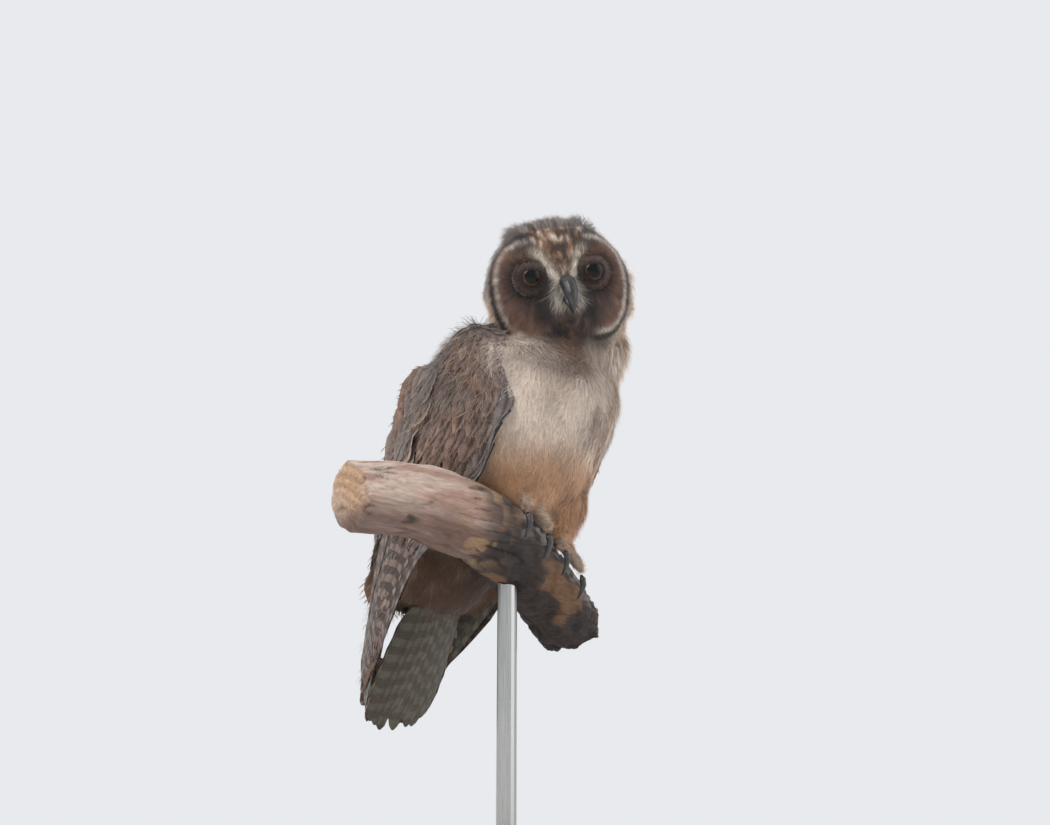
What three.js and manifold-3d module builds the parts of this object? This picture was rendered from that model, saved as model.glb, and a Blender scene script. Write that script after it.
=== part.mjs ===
// A fledgling long-eared owl perched on a cut length of branch, as a still, life-size model
// on a plain display stand. Millimetres, +Z up. The bird's breast faces -Y and its left is +X.
// The origin is the centre of the stand's underside.
import * as THREE from "three";
import { mergeVertices } from "three/addons/utils/BufferGeometryUtils.js";
import Module from "manifold-3d";

const wasm = await Module();
wasm.setup();

// Driving dimensions
const PERCH_TOP = 180; // height of the branch's top between the feet
const GAP = 0.3; // clearance between neighbouring solids
const HEAD_YAW = -38; // degrees that the head turns to the bird's right
const HEAD_PITCH = 17; // degrees that the face looks down
const HEAD_ROLL = -10; // degrees that the crown leans to the bird's right
const HEAD_AT = [-0.5, -21.5, 125.5]; // the head's centre, above the top of the branch
const HEAD_HALF = { width: 41, front: 29, back: 40, crown: 39, chin: 39 };
const EYE = { radius: 9, apart: 17, front: -18, height: 7 };
const PERCH_RADIUS = 20;
const TOE_RADIUS = 4.6;
const FEET = { right: -17, left: 17 }; // where each foot stands along the branch
const ROD = { radius: 5, x: -14 };
const BASE = { width: 200, depth: 190, height: 14, corner: 45, bevel: 3 };
const FEET_BACK = -24; // the feet stand this far along Y from the base's centre

const RIGHT = -1;
const LEFT = 1;
const WING_TUCK = 0.93; // the left wing lies closer to the trunk than the right
const degrees = THREE.MathUtils.degToRad;
const X_AXIS = new THREE.Vector3(1, 0, 0);
const bell = (x, spread) => Math.exp(-((x / spread) ** 2));

// A point given from the top of the branch between the feet.
const above = (x, y, z) => new THREE.Vector3(x, FEET_BACK + y, PERCH_TOP + z);

// Solids from three.js geometry, and back

function solid(geometry) {
  const bare = geometry.clone();
  bare.deleteAttribute("normal");
  bare.deleteAttribute("uv");
  const merged = mergeVertices(bare, 1e-3);
  const corners = Array.from(merged.index.array);
  const kept = [];
  for (let i = 0; i < corners.length; i += 3) {
    const [a, b, c] = corners.slice(i, i + 3);
    if (a !== b && b !== c && c !== a) kept.push(a, b, c);
  }
  const build = (triangles) =>
    new wasm.Manifold(
      new wasm.Mesh({
        numProp: 3,
        vertProperties: merged.attributes.position.array,
        triVerts: new Uint32Array(triangles),
      }),
    );
  const made = build(kept);
  if (made.volume() > 0) return made;
  for (let i = 0; i < kept.length; i += 3) [kept[i], kept[i + 1]] = [kept[i + 1], kept[i]];
  return build(kept);
}

function geometryOf(manifold) {
  const mesh = manifold.getMesh();
  const places = new Float32Array(mesh.numVert * 3);
  for (let i = 0; i < mesh.numVert; i++) {
    places.set(mesh.vertProperties.subarray(i * mesh.numProp, i * mesh.numProp + 3), i * 3);
  }
  const geometry = new THREE.BufferGeometry();
  geometry.setAttribute("position", new THREE.BufferAttribute(places, 3));
  geometry.setIndex(new THREE.BufferAttribute(mesh.triVerts, 1));
  geometry.computeVertexNormals();
  return geometry;
}

// A cut can leave slivers beside the main body; only the main body is kept.
function mainBody(manifold) {
  const bodies = solid(geometryOf(manifold)).decompose();
  return bodies.reduce((best, one) => (one.volume() > best.volume() ? one : best));
}

// Round bodies along a spine

// Each station is [x, y, z, half width along side, half depth, bend radius], from the feet.
// A sphere's rows become the sections, so both ends close. A section with a bend radius curves
// back from its middle, and its rear half by curl times as much, as a folded wing lies round the
// body. detail, if given, moves each point.
function spindle(form, grow) {
  const { stations, side = () => X_AXIS, rows, columns, blunt = 0.12, curl = 1, detail } = form;
  const spine = new THREE.CatmullRomCurve3(stations.map(([x, y, z]) => above(x, y, z)));
  const places = stations.map((_, i) => i / (stations.length - 1));
  const sizes = stations.flatMap(([, , , wide, deep, bend = Infinity]) => [wide, deep, 1 / bend]);
  const size = new THREE.CubicInterpolant(places, sizes, 3, new Float32Array(3));
  const ball = new THREE.SphereGeometry(1, columns, rows);
  const at = ball.attributes.position;
  for (let i = 0; i < at.count; i++) {
    const polar = Math.acos(THREE.MathUtils.clamp(at.getY(i), -1, 1));
    const turn = Math.atan2(at.getZ(i), at.getX(i));
    const along = polar / Math.PI;
    const toEnd = Math.min(along, 1 - along) / blunt;
    const round = toEnd < 1 ? Math.sqrt(Math.max(0, 1 - (1 - toEnd) ** 2)) : 1;
    const [wide, deep, bend] = size.evaluate(along);
    const tangent = spine.getTangent(along);
    const out = new THREE.Vector3().crossVectors(tangent, side(along)).normalize();
    const across = new THREE.Vector3().crossVectors(out, tangent).normalize();
    const reach = (wide + grow) * round * Math.cos(turn);
    const fold = (reach * reach * bend * (reach < 0 ? curl : 1)) / 2;
    const lift = (deep + grow) * round * Math.sin(turn) - fold;
    const point = spine.getPoint(along);
    point.addScaledVector(tangent, -grow * Math.cos(polar));
    point.addScaledVector(across, reach).addScaledVector(out, lift);
    if (detail) detail(point, { along, turn, round, tangent, across, out });
    at.setXYZ(i, point.x, point.y, point.z);
  }
  return solid(ball);
}

// Trunk, neck and legs

const trunkForm = {
  stations: [
    [7, -15, 99, 32, 24],
    [6, -10, 85, 49, 44],
    [0, 3, 62, 52, 51],
    [0, 20, 37, 51, 50],
    [0, 44, 11, 43, 33],
    [0, 62, -17, 36, 26],
    [0, 76, -45, 27, 16],
  ],
  rows: 14,
  columns: 21,
};

const neckForm = {
  stations: [
    [8, -4, 121, 30, 28],
    [12, -5, 111, 37, 34],
    [15, -6, 99, 42, 39],
    [8, -1, 79, 47, 45],
  ],
  rows: 8,
  columns: 20,
  blunt: 0.25,
};

const legForm = (side, x, drop) => ({
  stations: [
    [side * 22, -2, 34, 16, 20],
    [side * 21, -6, 18 - drop / 2, 17, 17],
    [x, -6, 7 - drop, 13, 13],
    [x, -4, 2 - drop, 9, 9],
  ],
  rows: 7,
  columns: 12,
  blunt: 0.2,
});

// Head, bill, eyes and ear tufts, made upright and facing -Y, then turned to the pose

const headTurn = new THREE.Matrix4()
  .makeTranslation(...above(...HEAD_AT))
  .multiply(new THREE.Matrix4().makeRotationZ(degrees(HEAD_YAW)))
  .multiply(new THREE.Matrix4().makeRotationX(degrees(HEAD_PITCH)))
  .multiply(new THREE.Matrix4().makeRotationY(degrees(HEAD_ROLL)));

// How far the face stands forward of a plain flat face: two dishes, and the ridge between them.
function faceRelief(x, z) {
  const disc = Math.hypot((Math.abs(x) - EYE.apart) / 20, (z - EYE.height) / 25);
  const dish = -4.5 * bell(disc, 0.85);
  const rim = 2.2 * bell(disc - 1.3, 0.28);
  const ridge = 6 * bell(x, 6.5) * bell(z + 2, 24);
  return dish + rim + ridge;
}

function headShape(grow) {
  const { width, front, back, crown, chin } = HEAD_HALF;
  const ball = new THREE.SphereGeometry(1, 24, 16);
  const at = ball.attributes.position;
  for (let i = 0; i < at.count; i++) {
    const [x, forward, z] = [at.getX(i), at.getY(i), at.getZ(i)];
    const place = new THREE.Vector3(width * x, 0, (z > 0 ? crown : chin) * z);
    const flat = forward > 0 ? front * forward ** 0.62 : back * forward;
    const relief = forward > 0 ? faceRelief(place.x, place.z) * Math.min(1, forward * 2.2) : 0;
    place.y = -flat - relief;
    place.addScaledVector(new THREE.Vector3(x, -forward, z), grow);
    at.setXYZ(i, place.x, place.y, place.z);
  }
  return solid(ball.applyMatrix4(headTurn));
}

const eyeBall = (side, grow) =>
  solid(
    new THREE.SphereGeometry(EYE.radius + grow, 12, 9)
      .rotateX(Math.PI / 2)
      .translate(side * EYE.apart, EYE.front, EYE.height)
      .applyMatrix4(headTurn),
  );

// A spindle in the head's own frame: its stations are given from the head's centre.
function onHead(form, grow) {
  const stations = form.stations.map(([x, y, z, ...size]) => [
    x,
    y - FEET_BACK,
    z - PERCH_TOP,
    ...size,
  ]);
  const manifold = spindle({ ...form, stations }, grow);
  return solid(geometryOf(manifold).applyMatrix4(headTurn));
}

const upperBillForm = {
  stations: [
    [0, -30, 3, 4.2, 4],
    [0, -36.5, 0, 4.4, 4.2],
    [0, -41, -6, 3.4, 3.6],
    [0, -41.5, -12, 1.9, 2.2],
    [0, -39.5, -16.5, 0.6, 0.7],
  ],
  rows: 10,
  columns: 10,
};

const lowerBillForm = {
  stations: [
    [0, -30, -6, 4, 2.4],
    [0, -35.5, -9, 3.3, 2.2],
    [0, -38.6, -12.5, 1.6, 1.1],
  ],
  rows: 6,
  columns: 8,
};

const earTuftForm = (side) => ({
  stations: [
    [side * 16, -12, 33, 5, 4],
    [side * 19, -2, 36, 5, 4],
    [side * 22, 9, 33, 2, 2],
  ],
  rows: 7,
  columns: 9,
});

// Wings and tail

const wingForm = (out) => ({
  stations: [
    [out * 37, -5, 102, 7, 6, -out * 44],
    [out * 44, -2, 91, 15, 8, -out * 46],
    [out * 51, 8, 66, 31, 8, -out * 60],
    [out * 51, 23, 39, 36, 8, -out * 60],
    [out * 46, 44, 12, 32, 7, -out * 56],
    [out * 39, 63, -12, 24, 6, -out * 60],
    [out * 31, 80, -38, 17, 4.5, -out * 70],
    [out * 23, 96, -64, 11, 3, -out * 90],
    [out * 16, 108, -88, 6, 2, -out * 200],
  ],
  side: (along) => new THREE.Vector3(out * (0.05 + 0.35 * along ** 2), -0.84, -0.54).normalize(),
  curl: 1.5,
  rows: 17,
  columns: 12,
  blunt: 0.1,
});

const tailForm = {
  stations: [
    [0, 66, -34, 20, 8],
    [0, 77, -55, 22, 6],
    [0, 89, -77, 24, 3.5],
    [0, 101, -98, 23, 2],
  ],
  rows: 12,
  columns: 16,
  blunt: 0.1,
};

// Perch: a crooked, partly rotten branch, sawn at the bird's right and broken at its left

const perchStations = [
  [-128, 6, -12, 16, 16],
  [-95, 1, -6, 18, 18],
  [-62, 0, -5, 19.5, 19.5],
  [-36, 0, -10, PERCH_RADIUS, PERCH_RADIUS],
  [-14, 1, -17, PERCH_RADIUS, PERCH_RADIUS],
  [10, 5, -27, PERCH_RADIUS, PERCH_RADIUS],
  [34, 10, -39, 19, 19.5],
  [60, 17, -52, 18, 18],
];

// Ridges and hollows of bark, in mm, round and along the branch.
const bark = (turn, along) =>
  0.8 * Math.sin(3 * turn + 9 * along) +
  0.6 * Math.sin(7 * turn - 14 * along) +
  0.7 * Math.sin(31 * along + 2 * Math.sin(turn)) * Math.sin(2 * turn + 1);

// The broken end runs out in splinters.
const splinters = (turn) => 5 * Math.sin(3 * turn + 0.6) + 3.5 * Math.sin(7 * turn);

const perchForm = {
  stations: perchStations,
  side: () => new THREE.Vector3(0, -1, 0),
  rows: 23,
  columns: 15,
  blunt: 0.045,
  detail: (point, { along, turn, round, tangent, across, out }) => {
    const lump = bark(turn, along) * round;
    point.addScaledVector(across, lump * Math.cos(turn)).addScaledVector(out, lump * Math.sin(turn));
    const broken = THREE.MathUtils.smoothstep(along, 0.9, 1) * Math.sqrt(round);
    point.addScaledVector(tangent, broken * splinters(turn));
  },
};

// The sawn end is flat.
function sawCut(grow) {
  const [start, next] = perchStations.map(([x, y, z]) => above(x, y, z));
  const block = new THREE.BoxGeometry(60, 80, 80).translate(-30, 0, 0);
  const away = new THREE.Vector3().subVectors(next, start).normalize();
  const turned = new THREE.Quaternion().setFromUnitVectors(X_AXIS, away);
  const cut = start.addScaledVector(away, 6 - grow);
  return solid(block.applyQuaternion(turned).translate(...cut));
}

const perchSpine = new THREE.CatmullRomCurve3(perchStations.map(([x, y, z]) => above(x, y, z)));

// The branch's centre at a place along X.
function perchCentre(x) {
  const steps = perchSpine.getPoints(400);
  return steps.reduce((best, p) => (Math.abs(p.x - x) < Math.abs(best.x - x) ? p : best));
}

// Feet: two toes before the branch and two behind it, each ending in a curved claw

const TOES = [
  { spread: -7, turn: -1, reach: 70 },
  { spread: 6, turn: -1, reach: 76 },
  { spread: -9, turn: 1, reach: 58 },
  { spread: 7, turn: 1, reach: 50 },
];

// A point at an angle from the top of the branch, in degrees towards the front (-1) or back (1).
function aroundPerch(foot, toe, angle, height) {
  const share = angle / toe.reach;
  const x = FEET[foot] + toe.spread * Math.min(1.25, 0.25 + share);
  const centre = perchCentre(x);
  const radius = PERCH_RADIUS + height;
  const lean = degrees(angle) * toe.turn;
  return [
    x,
    centre.y - FEET_BACK + radius * Math.sin(lean),
    centre.z - PERCH_TOP + radius * Math.cos(lean),
  ];
}

function toeForm(foot, toe) {
  const lift = TOE_RADIUS + 1.2;
  const stops = [-12, toe.reach * 0.25, toe.reach * 0.6, toe.reach];
  const thick = [1.1, 1.05, 0.95, 0.8];
  return {
    stations: stops.map((angle, i) => [
      ...aroundPerch(foot, toe, angle, lift),
      TOE_RADIUS * thick[i],
      TOE_RADIUS * thick[i],
    ]),
    rows: 6,
    columns: 7,
    blunt: 0.3,
  };
}

function clawForm(foot, toe) {
  const stops = [-4, 9, 21, 33].map((angle) => toe.reach + angle);
  const lifts = [5, 5.9, 4.4, 1.2];
  const thick = [2.1, 1.8, 1.3, 0.5];
  return {
    stations: stops.map((angle, i) => [
      ...aroundPerch(foot, toe, angle, lifts[i]),
      thick[i],
      thick[i],
    ]),
    rows: 5,
    columns: 5,
    blunt: 0.15,
  };
}

const toes = (foot, grow) =>
  TOES.map((toe) => spindle(toeForm(foot, toe), grow)).reduce((all, one) => all.add(one));

const claws = {};
for (const foot of ["right", "left"]) {
  TOES.forEach((toe, i) => {
    claws[`claw_${foot}_${i + 1}`] = (grow) => spindle(clawForm(foot, toe), grow);
  });
}

// Stand

function baseShape() {
  const { width, depth, height, corner, bevel } = BASE;
  const [w, d] = [width / 2 - bevel, depth / 2 - bevel];
  const outline = new THREE.Shape();
  outline.moveTo(-w + corner, -d);
  outline.lineTo(w - corner, -d);
  outline.absarc(w - corner, -d + corner, corner, -Math.PI / 2, 0);
  outline.lineTo(w, d - corner);
  outline.absarc(w - corner, d - corner, corner, 0, Math.PI / 2);
  outline.lineTo(-w + corner, d);
  outline.absarc(-w + corner, d - corner, corner, Math.PI / 2, Math.PI);
  outline.lineTo(-w, -d + corner);
  outline.absarc(-w + corner, -d + corner, corner, Math.PI, 1.5 * Math.PI);
  const slab = new THREE.ExtrudeGeometry(outline, {
    depth: height - bevel,
    bevelThickness: bevel,
    bevelSize: bevel,
    bevelSegments: 1,
    curveSegments: 5,
  });
  const block = new THREE.BoxGeometry(2 * width, 2 * depth, 2 * height).translate(0, 0, -height);
  return solid(slab).subtract(solid(block));
}

function collarShape() {
  const inner = ROD.radius + GAP;
  const profile = [
    [inner, 0],
    [14, 0],
    [14, 2.5],
    [10, 5],
    [inner, 5],
    [inner, 0],
  ].map(([r, z]) => new THREE.Vector2(r, z));
  const ring = new THREE.LatheGeometry(profile, 16).rotateX(Math.PI / 2);
  return solid(ring.translate(ROD.x, perchCentre(ROD.x).y, BASE.height + GAP));
}

function rodShape() {
  const top = PERCH_TOP - 24;
  const bottom = BASE.height + GAP;
  const rod = new THREE.CylinderGeometry(ROD.radius, ROD.radius, top - bottom, 16)
    .rotateX(Math.PI / 2)
    .translate(ROD.x, perchCentre(ROD.x).y, (top + bottom) / 2);
  return solid(rod);
}

// Every piece in turn gives way to those before it, grown by the gap.
const shapes = {
  eye_right: (grow) => eyeBall(RIGHT, grow),
  eye_left: (grow) => eyeBall(LEFT, grow),
  bill_upper: (grow) => onHead(upperBillForm, grow),
  bill_lower: (grow) => onHead(lowerBillForm, grow),
  head: (grow) => headShape(grow),
  ear_tuft_right: (grow) => onHead(earTuftForm(RIGHT), grow),
  ear_tuft_left: (grow) => onHead(earTuftForm(LEFT), grow),
  perch_branch: (grow) => spindle(perchForm, grow).subtract(sawCut(grow)),
  foot_right: (grow) => toes("right", grow),
  foot_left: (grow) => toes("left", grow),
  ...claws,
  trunk: (grow) => spindle(trunkForm, grow),
  wing_right: (grow) => spindle(wingForm(RIGHT), grow),
  wing_left: (grow) => spindle(wingForm(LEFT * WING_TUCK), grow),
  neck: (grow) => spindle(neckForm, grow),
  leg_right: (grow) => spindle(legForm(RIGHT, FEET.right, 0), grow),
  leg_left: (grow) => spindle(legForm(LEFT, FEET.left, 12), grow),
  tail: (grow) => spindle(tailForm, grow),
  stand_base: () => baseShape(),
  stand_collar: () => collarShape(),
  stand_rod: () => rodShape(),
};

const pieces = {};
let taken = null;
for (const [name, shape] of Object.entries(shapes)) {
  const whole = shape(0);
  pieces[name] = mainBody(taken ? whole.subtract(taken) : whole);
  const room = shape(GAP);
  taken = taken ? taken.add(room) : room;
}

// Materials and the scene graph

const finishes = {
  down: { color: 0xbfa286, roughness: 0.95 },
  feather: { color: 0x84695a, roughness: 0.8 },
  horn: { color: 0x2a2724, roughness: 0.35 },
  eye: { color: 0x3a2415, roughness: 0.1 },
  bark: { color: 0x5d4a3a, roughness: 0.9 },
  wood: { color: 0x8d8478, roughness: 0.5 },
  steel: { color: 0x9a9a98, roughness: 0.35, metalness: 0.9 },
};

function finishOf(name) {
  if (/^(wing|tail)/.test(name)) return "feather";
  if (/^(bill|claw)/.test(name)) return "horn";
  if (/^eye/.test(name)) return "eye";
  if (/^perch/.test(name)) return "bark";
  if (name === "stand_base") return "wood";
  if (/^stand/.test(name)) return "steel";
  return "down";
}

const owl = new THREE.Group();
for (const [name, manifold] of Object.entries(pieces)) {
  const material = new THREE.MeshStandardMaterial(finishes[finishOf(name)]);
  const mesh = new THREE.Mesh(geometryOf(manifold), material);
  mesh.name = name;
  owl.add(mesh);
}

export default owl;
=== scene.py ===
"""A long-eared owl fledgling on a short perch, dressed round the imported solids.

Lengths are in millimetres in the row frame. Each mesh is made in metres.
"""
import itertools
import math
from types import SimpleNamespace

import bpy
import numpy as np
from mathutils import Matrix, Vector
from mathutils.bvhtree import BVHTree


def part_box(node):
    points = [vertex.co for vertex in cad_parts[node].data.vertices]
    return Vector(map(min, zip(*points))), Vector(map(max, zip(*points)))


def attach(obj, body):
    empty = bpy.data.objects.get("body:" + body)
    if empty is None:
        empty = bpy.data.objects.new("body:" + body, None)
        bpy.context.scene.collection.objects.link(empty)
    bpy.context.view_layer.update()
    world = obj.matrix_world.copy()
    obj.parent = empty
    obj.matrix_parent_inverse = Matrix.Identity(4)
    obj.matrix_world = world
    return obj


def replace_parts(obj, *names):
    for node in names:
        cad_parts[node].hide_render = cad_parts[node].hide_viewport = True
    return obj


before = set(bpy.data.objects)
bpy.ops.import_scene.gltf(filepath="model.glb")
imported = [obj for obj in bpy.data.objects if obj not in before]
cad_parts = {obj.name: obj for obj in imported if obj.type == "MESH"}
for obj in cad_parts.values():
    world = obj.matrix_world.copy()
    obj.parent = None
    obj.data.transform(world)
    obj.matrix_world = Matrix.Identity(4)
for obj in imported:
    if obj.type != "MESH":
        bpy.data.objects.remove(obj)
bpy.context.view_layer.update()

MM = 0.001
FULL_TURN = 2 * math.pi
PERCH_TOP = 180.0  # height of the top of the branch between the feet
FEET_BACK = -24.0  # the feet stand this far before the middle of the base
rng = np.random.default_rng(5)


def above(x, y, z):
    """A place given from the top of the branch."""
    return np.array([x, y + FEET_BACK, z + PERCH_TOP], float)


# The head is turned to the bird's right, bowed, and leans to its right.
HEAD_AT = above(-0.5, -21.5, 125.5)
HEAD_TURN = np.array(
    Matrix.Rotation(math.radians(-38), 3, "Z")
    @ Matrix.Rotation(math.radians(17), 3, "X")
    @ Matrix.Rotation(math.radians(-10), 3, "Y")
)
# The eyes' centres in the head's own frame
EYE_APART = 17.0
EYE_HEIGHT = 7.0
EYE_FRONT = -18.0
EYE_RADIUS = 9.0

# Arithmetic on arrays of points


def unit(vectors):
    return vectors / np.maximum(np.linalg.norm(vectors, axis=-1, keepdims=True), 1e-9)


def flatten(vectors, normals):
    """The part of each vector that lies in the surface, at unit length."""
    return unit(vectors - (vectors * normals).sum(-1, keepdims=True) * normals)


def ramp(low, high, value):
    """Rises smoothly from 0 at low to 1 at high. low may be the larger of the two."""
    part = np.clip((value - low) / (high - low), 0, 1)
    return part * part * (3 - 2 * part)


def bell(value, width):
    return np.exp(-((value / width) ** 2))


def noise(points, size, seed=0):
    """Smooth noise from -1 to 1, with lumps of about that size in millimetres."""
    cell = points / size + 31.7 * seed
    base = np.floor(cell).astype(np.int64)
    part = cell - base
    part = part * part * (3 - 2 * part)
    total = np.zeros(len(points))
    for corner in itertools.product((0, 1), repeat=3):
        x, y, z = (base + corner).T
        mixed = (x * 73856093) ^ (y * 19349663) ^ (z * 83492791)
        mixed = (mixed ^ (mixed >> 13)) * 1274126177 & 0xFFFFFF
        total += np.where(corner, part, 1 - part).prod(1) * (mixed / 0x7FFFFF - 1)
    return total


def to_head(points):
    """Row-frame points seen from the head: x to its left, y back and z up."""
    return (points - HEAD_AT) @ HEAD_TURN


def from_head(points):
    return points @ HEAD_TURN.T + HEAD_AT


def spline(stations, shares):
    """Places along a smooth curve through the stations, by share of the steps between them."""
    stations = np.asarray(stations, float)
    ends = 2 * stations[[0, -1]] - stations[[1, -2]]
    padded = np.vstack([ends[:1], stations, ends[1:]])
    at = np.clip(shares, 0, 1) * (len(stations) - 1)
    first = np.minimum(at.astype(int), len(stations) - 2)
    u = (at - first)[:, None]
    a, b, c, d = (padded[first + step] for step in range(4))
    cubic = 3 * b - a - 3 * c + d
    square = 2 * a - 5 * b + 4 * c - d
    return (2 * b + (c - a) * u + square * u**2 + cubic * u**3) / 2


# Colours


def rgb(red, green, blue):
    """A colour as it looks on a screen, 0 to 255, as linear light."""
    screen = np.array([red, green, blue]) / 255
    return np.where(screen > 0.04045, ((screen + 0.055) / 1.055) ** 2.4, screen / 12.92)


CREAM = rgb(246, 232, 218)
BUFF = rgb(214, 182, 154)
RUST = rgb(186, 132, 88)
TAN = rgb(168, 128, 96)
PINK_BROWN = rgb(158, 116, 96)
GREY_BROWN = rgb(122, 106, 96)
BROWN = rgb(96, 68, 52)
DARK_BROWN = rgb(62, 44, 36)
BLACK_BROWN = rgb(30, 24, 22)
ASH = rgb(178, 168, 156)
PALE = rgb(226, 214, 196)
PLUM_BROWN = rgb(76, 60, 58)
RUFOUS = rgb(136, 104, 88)
MAUVE_BROWN = rgb(112, 92, 88)
VIOLET_GREY = rgb(92, 82, 84)
GREY_GREEN = rgb(120, 120, 106)
DASH = rgb(134, 112, 104)
SLATE = rgb(110, 102, 100)


def paint(colours, *layers):
    """Lays colours over others, each by a weight for each point. It mixes directions too."""
    for over, weight in layers:
        weight = np.clip(weight, 0, 1)[:, None]
        colours = colours * (1 - weight) + over * weight
    return colours


# Meshes


def mesh_piece(name, points, faces, finish, attributes=(), patches=None, facing=None):
    """A smooth mesh that rides on the body. Faces are arrays of corners, one array for each face size.
    facing gives normals that light the piece as softly as what it grows on."""
    corners = np.concatenate([group.ravel() for group in faces]).astype(np.int32)
    sizes = np.concatenate([np.full(len(group), group.shape[1]) for group in faces])
    starts = np.concatenate([[0], np.cumsum(sizes)[:-1]]).astype(np.int32)
    mesh = bpy.data.meshes.new(name)
    mesh.vertices.add(len(points))
    mesh.vertices.foreach_set("co", (np.asarray(points) * MM).astype(np.float32).ravel())
    mesh.loops.add(len(corners))
    mesh.loops.foreach_set("vertex_index", corners)
    mesh.polygons.add(len(sizes))
    mesh.polygons.foreach_set("loop_start", starts)
    mesh.update(calc_edges=True)
    mesh.shade_smooth()
    for label, values in dict(attributes).items():
        write_attribute(mesh, label, np.asarray(values, np.float32))
    if patches is not None:
        layer = mesh.uv_layers.new(name="OFBake")
        layer.data.foreach_set("uv", patches[corners].astype(np.float32).ravel())
    if facing is not None:
        normals = mesh.attributes.new("custom_normal", "FLOAT_VECTOR", "POINT")
        normals.data.foreach_set("vector", facing.astype(np.float32).ravel())
    mesh.materials.append(MATERIALS[finish])
    piece = bpy.data.objects.new(name, mesh)
    bpy.context.scene.collection.objects.link(piece)
    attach(piece, "root")
    return piece


def write_attribute(mesh, label, values):
    if values.ndim == 1:
        mesh.attributes.new(label, "FLOAT", "POINT").data.foreach_set("value", values)
        return
    colours = np.ones((len(values), 4), np.float32)
    colours[:, :3] = values
    layer = mesh.color_attributes.new(label, "FLOAT_COLOR", "POINT")
    layer.data.foreach_set("color", colours.ravel())


def arrays_of(mesh):
    """A mesh's points in millimetres and its triangles."""
    points = np.empty(len(mesh.vertices) * 3, np.float32)
    mesh.vertices.foreach_get("co", points)
    mesh.calc_loop_triangles()
    triangles = np.empty(len(mesh.loop_triangles) * 3, np.int32)
    mesh.loop_triangles.foreach_get("vertices", triangles)
    return points.reshape(-1, 3).astype(float) / MM, triangles.reshape(-1, 3)


def node_arrays(name):
    return arrays_of(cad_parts[name].data)


def remeshed(points, triangles, voxel):
    """The joined outer surface of closed meshes, as an even net of that step."""
    mesh = bpy.data.meshes.new("rough")
    mesh.from_pydata((points * MM).tolist(), [], triangles.tolist())
    rough = bpy.data.objects.new("rough", mesh)
    bpy.context.scene.collection.objects.link(rough)
    remesh = rough.modifiers.new("remesh", "REMESH")
    remesh.mode = "VOXEL"
    remesh.voxel_size = voxel * MM
    found = arrays_of(rough.evaluated_get(bpy.context.evaluated_depsgraph_get()).to_mesh())
    rough.to_mesh_clear()
    bpy.data.objects.remove(rough)
    bpy.data.meshes.remove(mesh)
    return found


def edges_of(triangles):
    pairs = np.vstack([triangles[:, [0, 1]], triangles[:, [1, 2]], triangles[:, [2, 0]]])
    return np.unique(np.sort(pairs, axis=1), axis=0)


def evened(values, edges, rounds, strength=0.5):
    """Values at the vertices, each drawn towards the mean of its neighbours."""
    values = np.array(values, float)
    count = np.zeros(len(values))
    np.add.at(count, edges.ravel(), 1)
    count = np.maximum(count, 1).reshape(-1, *[1] * (values.ndim - 1))
    for _ in range(rounds):
        total = np.zeros_like(values)
        np.add.at(total, edges[:, 0], values[edges[:, 1]])
        np.add.at(total, edges[:, 1], values[edges[:, 0]])
        values += strength * (total / count - values)
    return values


def normals_of(points, triangles):
    a, b, c = (points[triangles[:, corner]] for corner in range(3))
    across = np.cross(b - a, c - a)
    total = np.zeros_like(points)
    for corner in range(3):
        np.add.at(total, triangles[:, corner], across)
    return unit(total)


def tree_of(points, triangles):
    return BVHTree.FromPolygons(points.tolist(), triangles.tolist())


def ring_quads(rows, columns):
    """The faces between rows of points that each close on themselves."""
    ring = np.arange(columns)
    after = (ring + 1) % columns
    start = np.arange(rows - 1)[:, None] * columns
    corners = [start + ring, start + after, start + columns + after, start + columns + ring]
    return np.stack(corners, -1).reshape(-1, 4)


def on_globe(polar, turn):
    """Directions round an axis that looks forwards, by angle from it and round it."""
    side, forward = np.sin(polar), np.cos(polar)
    return np.stack([side * np.cos(turn), -forward + 0 * turn, side * np.sin(turn)], -1)


# Materials


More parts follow.
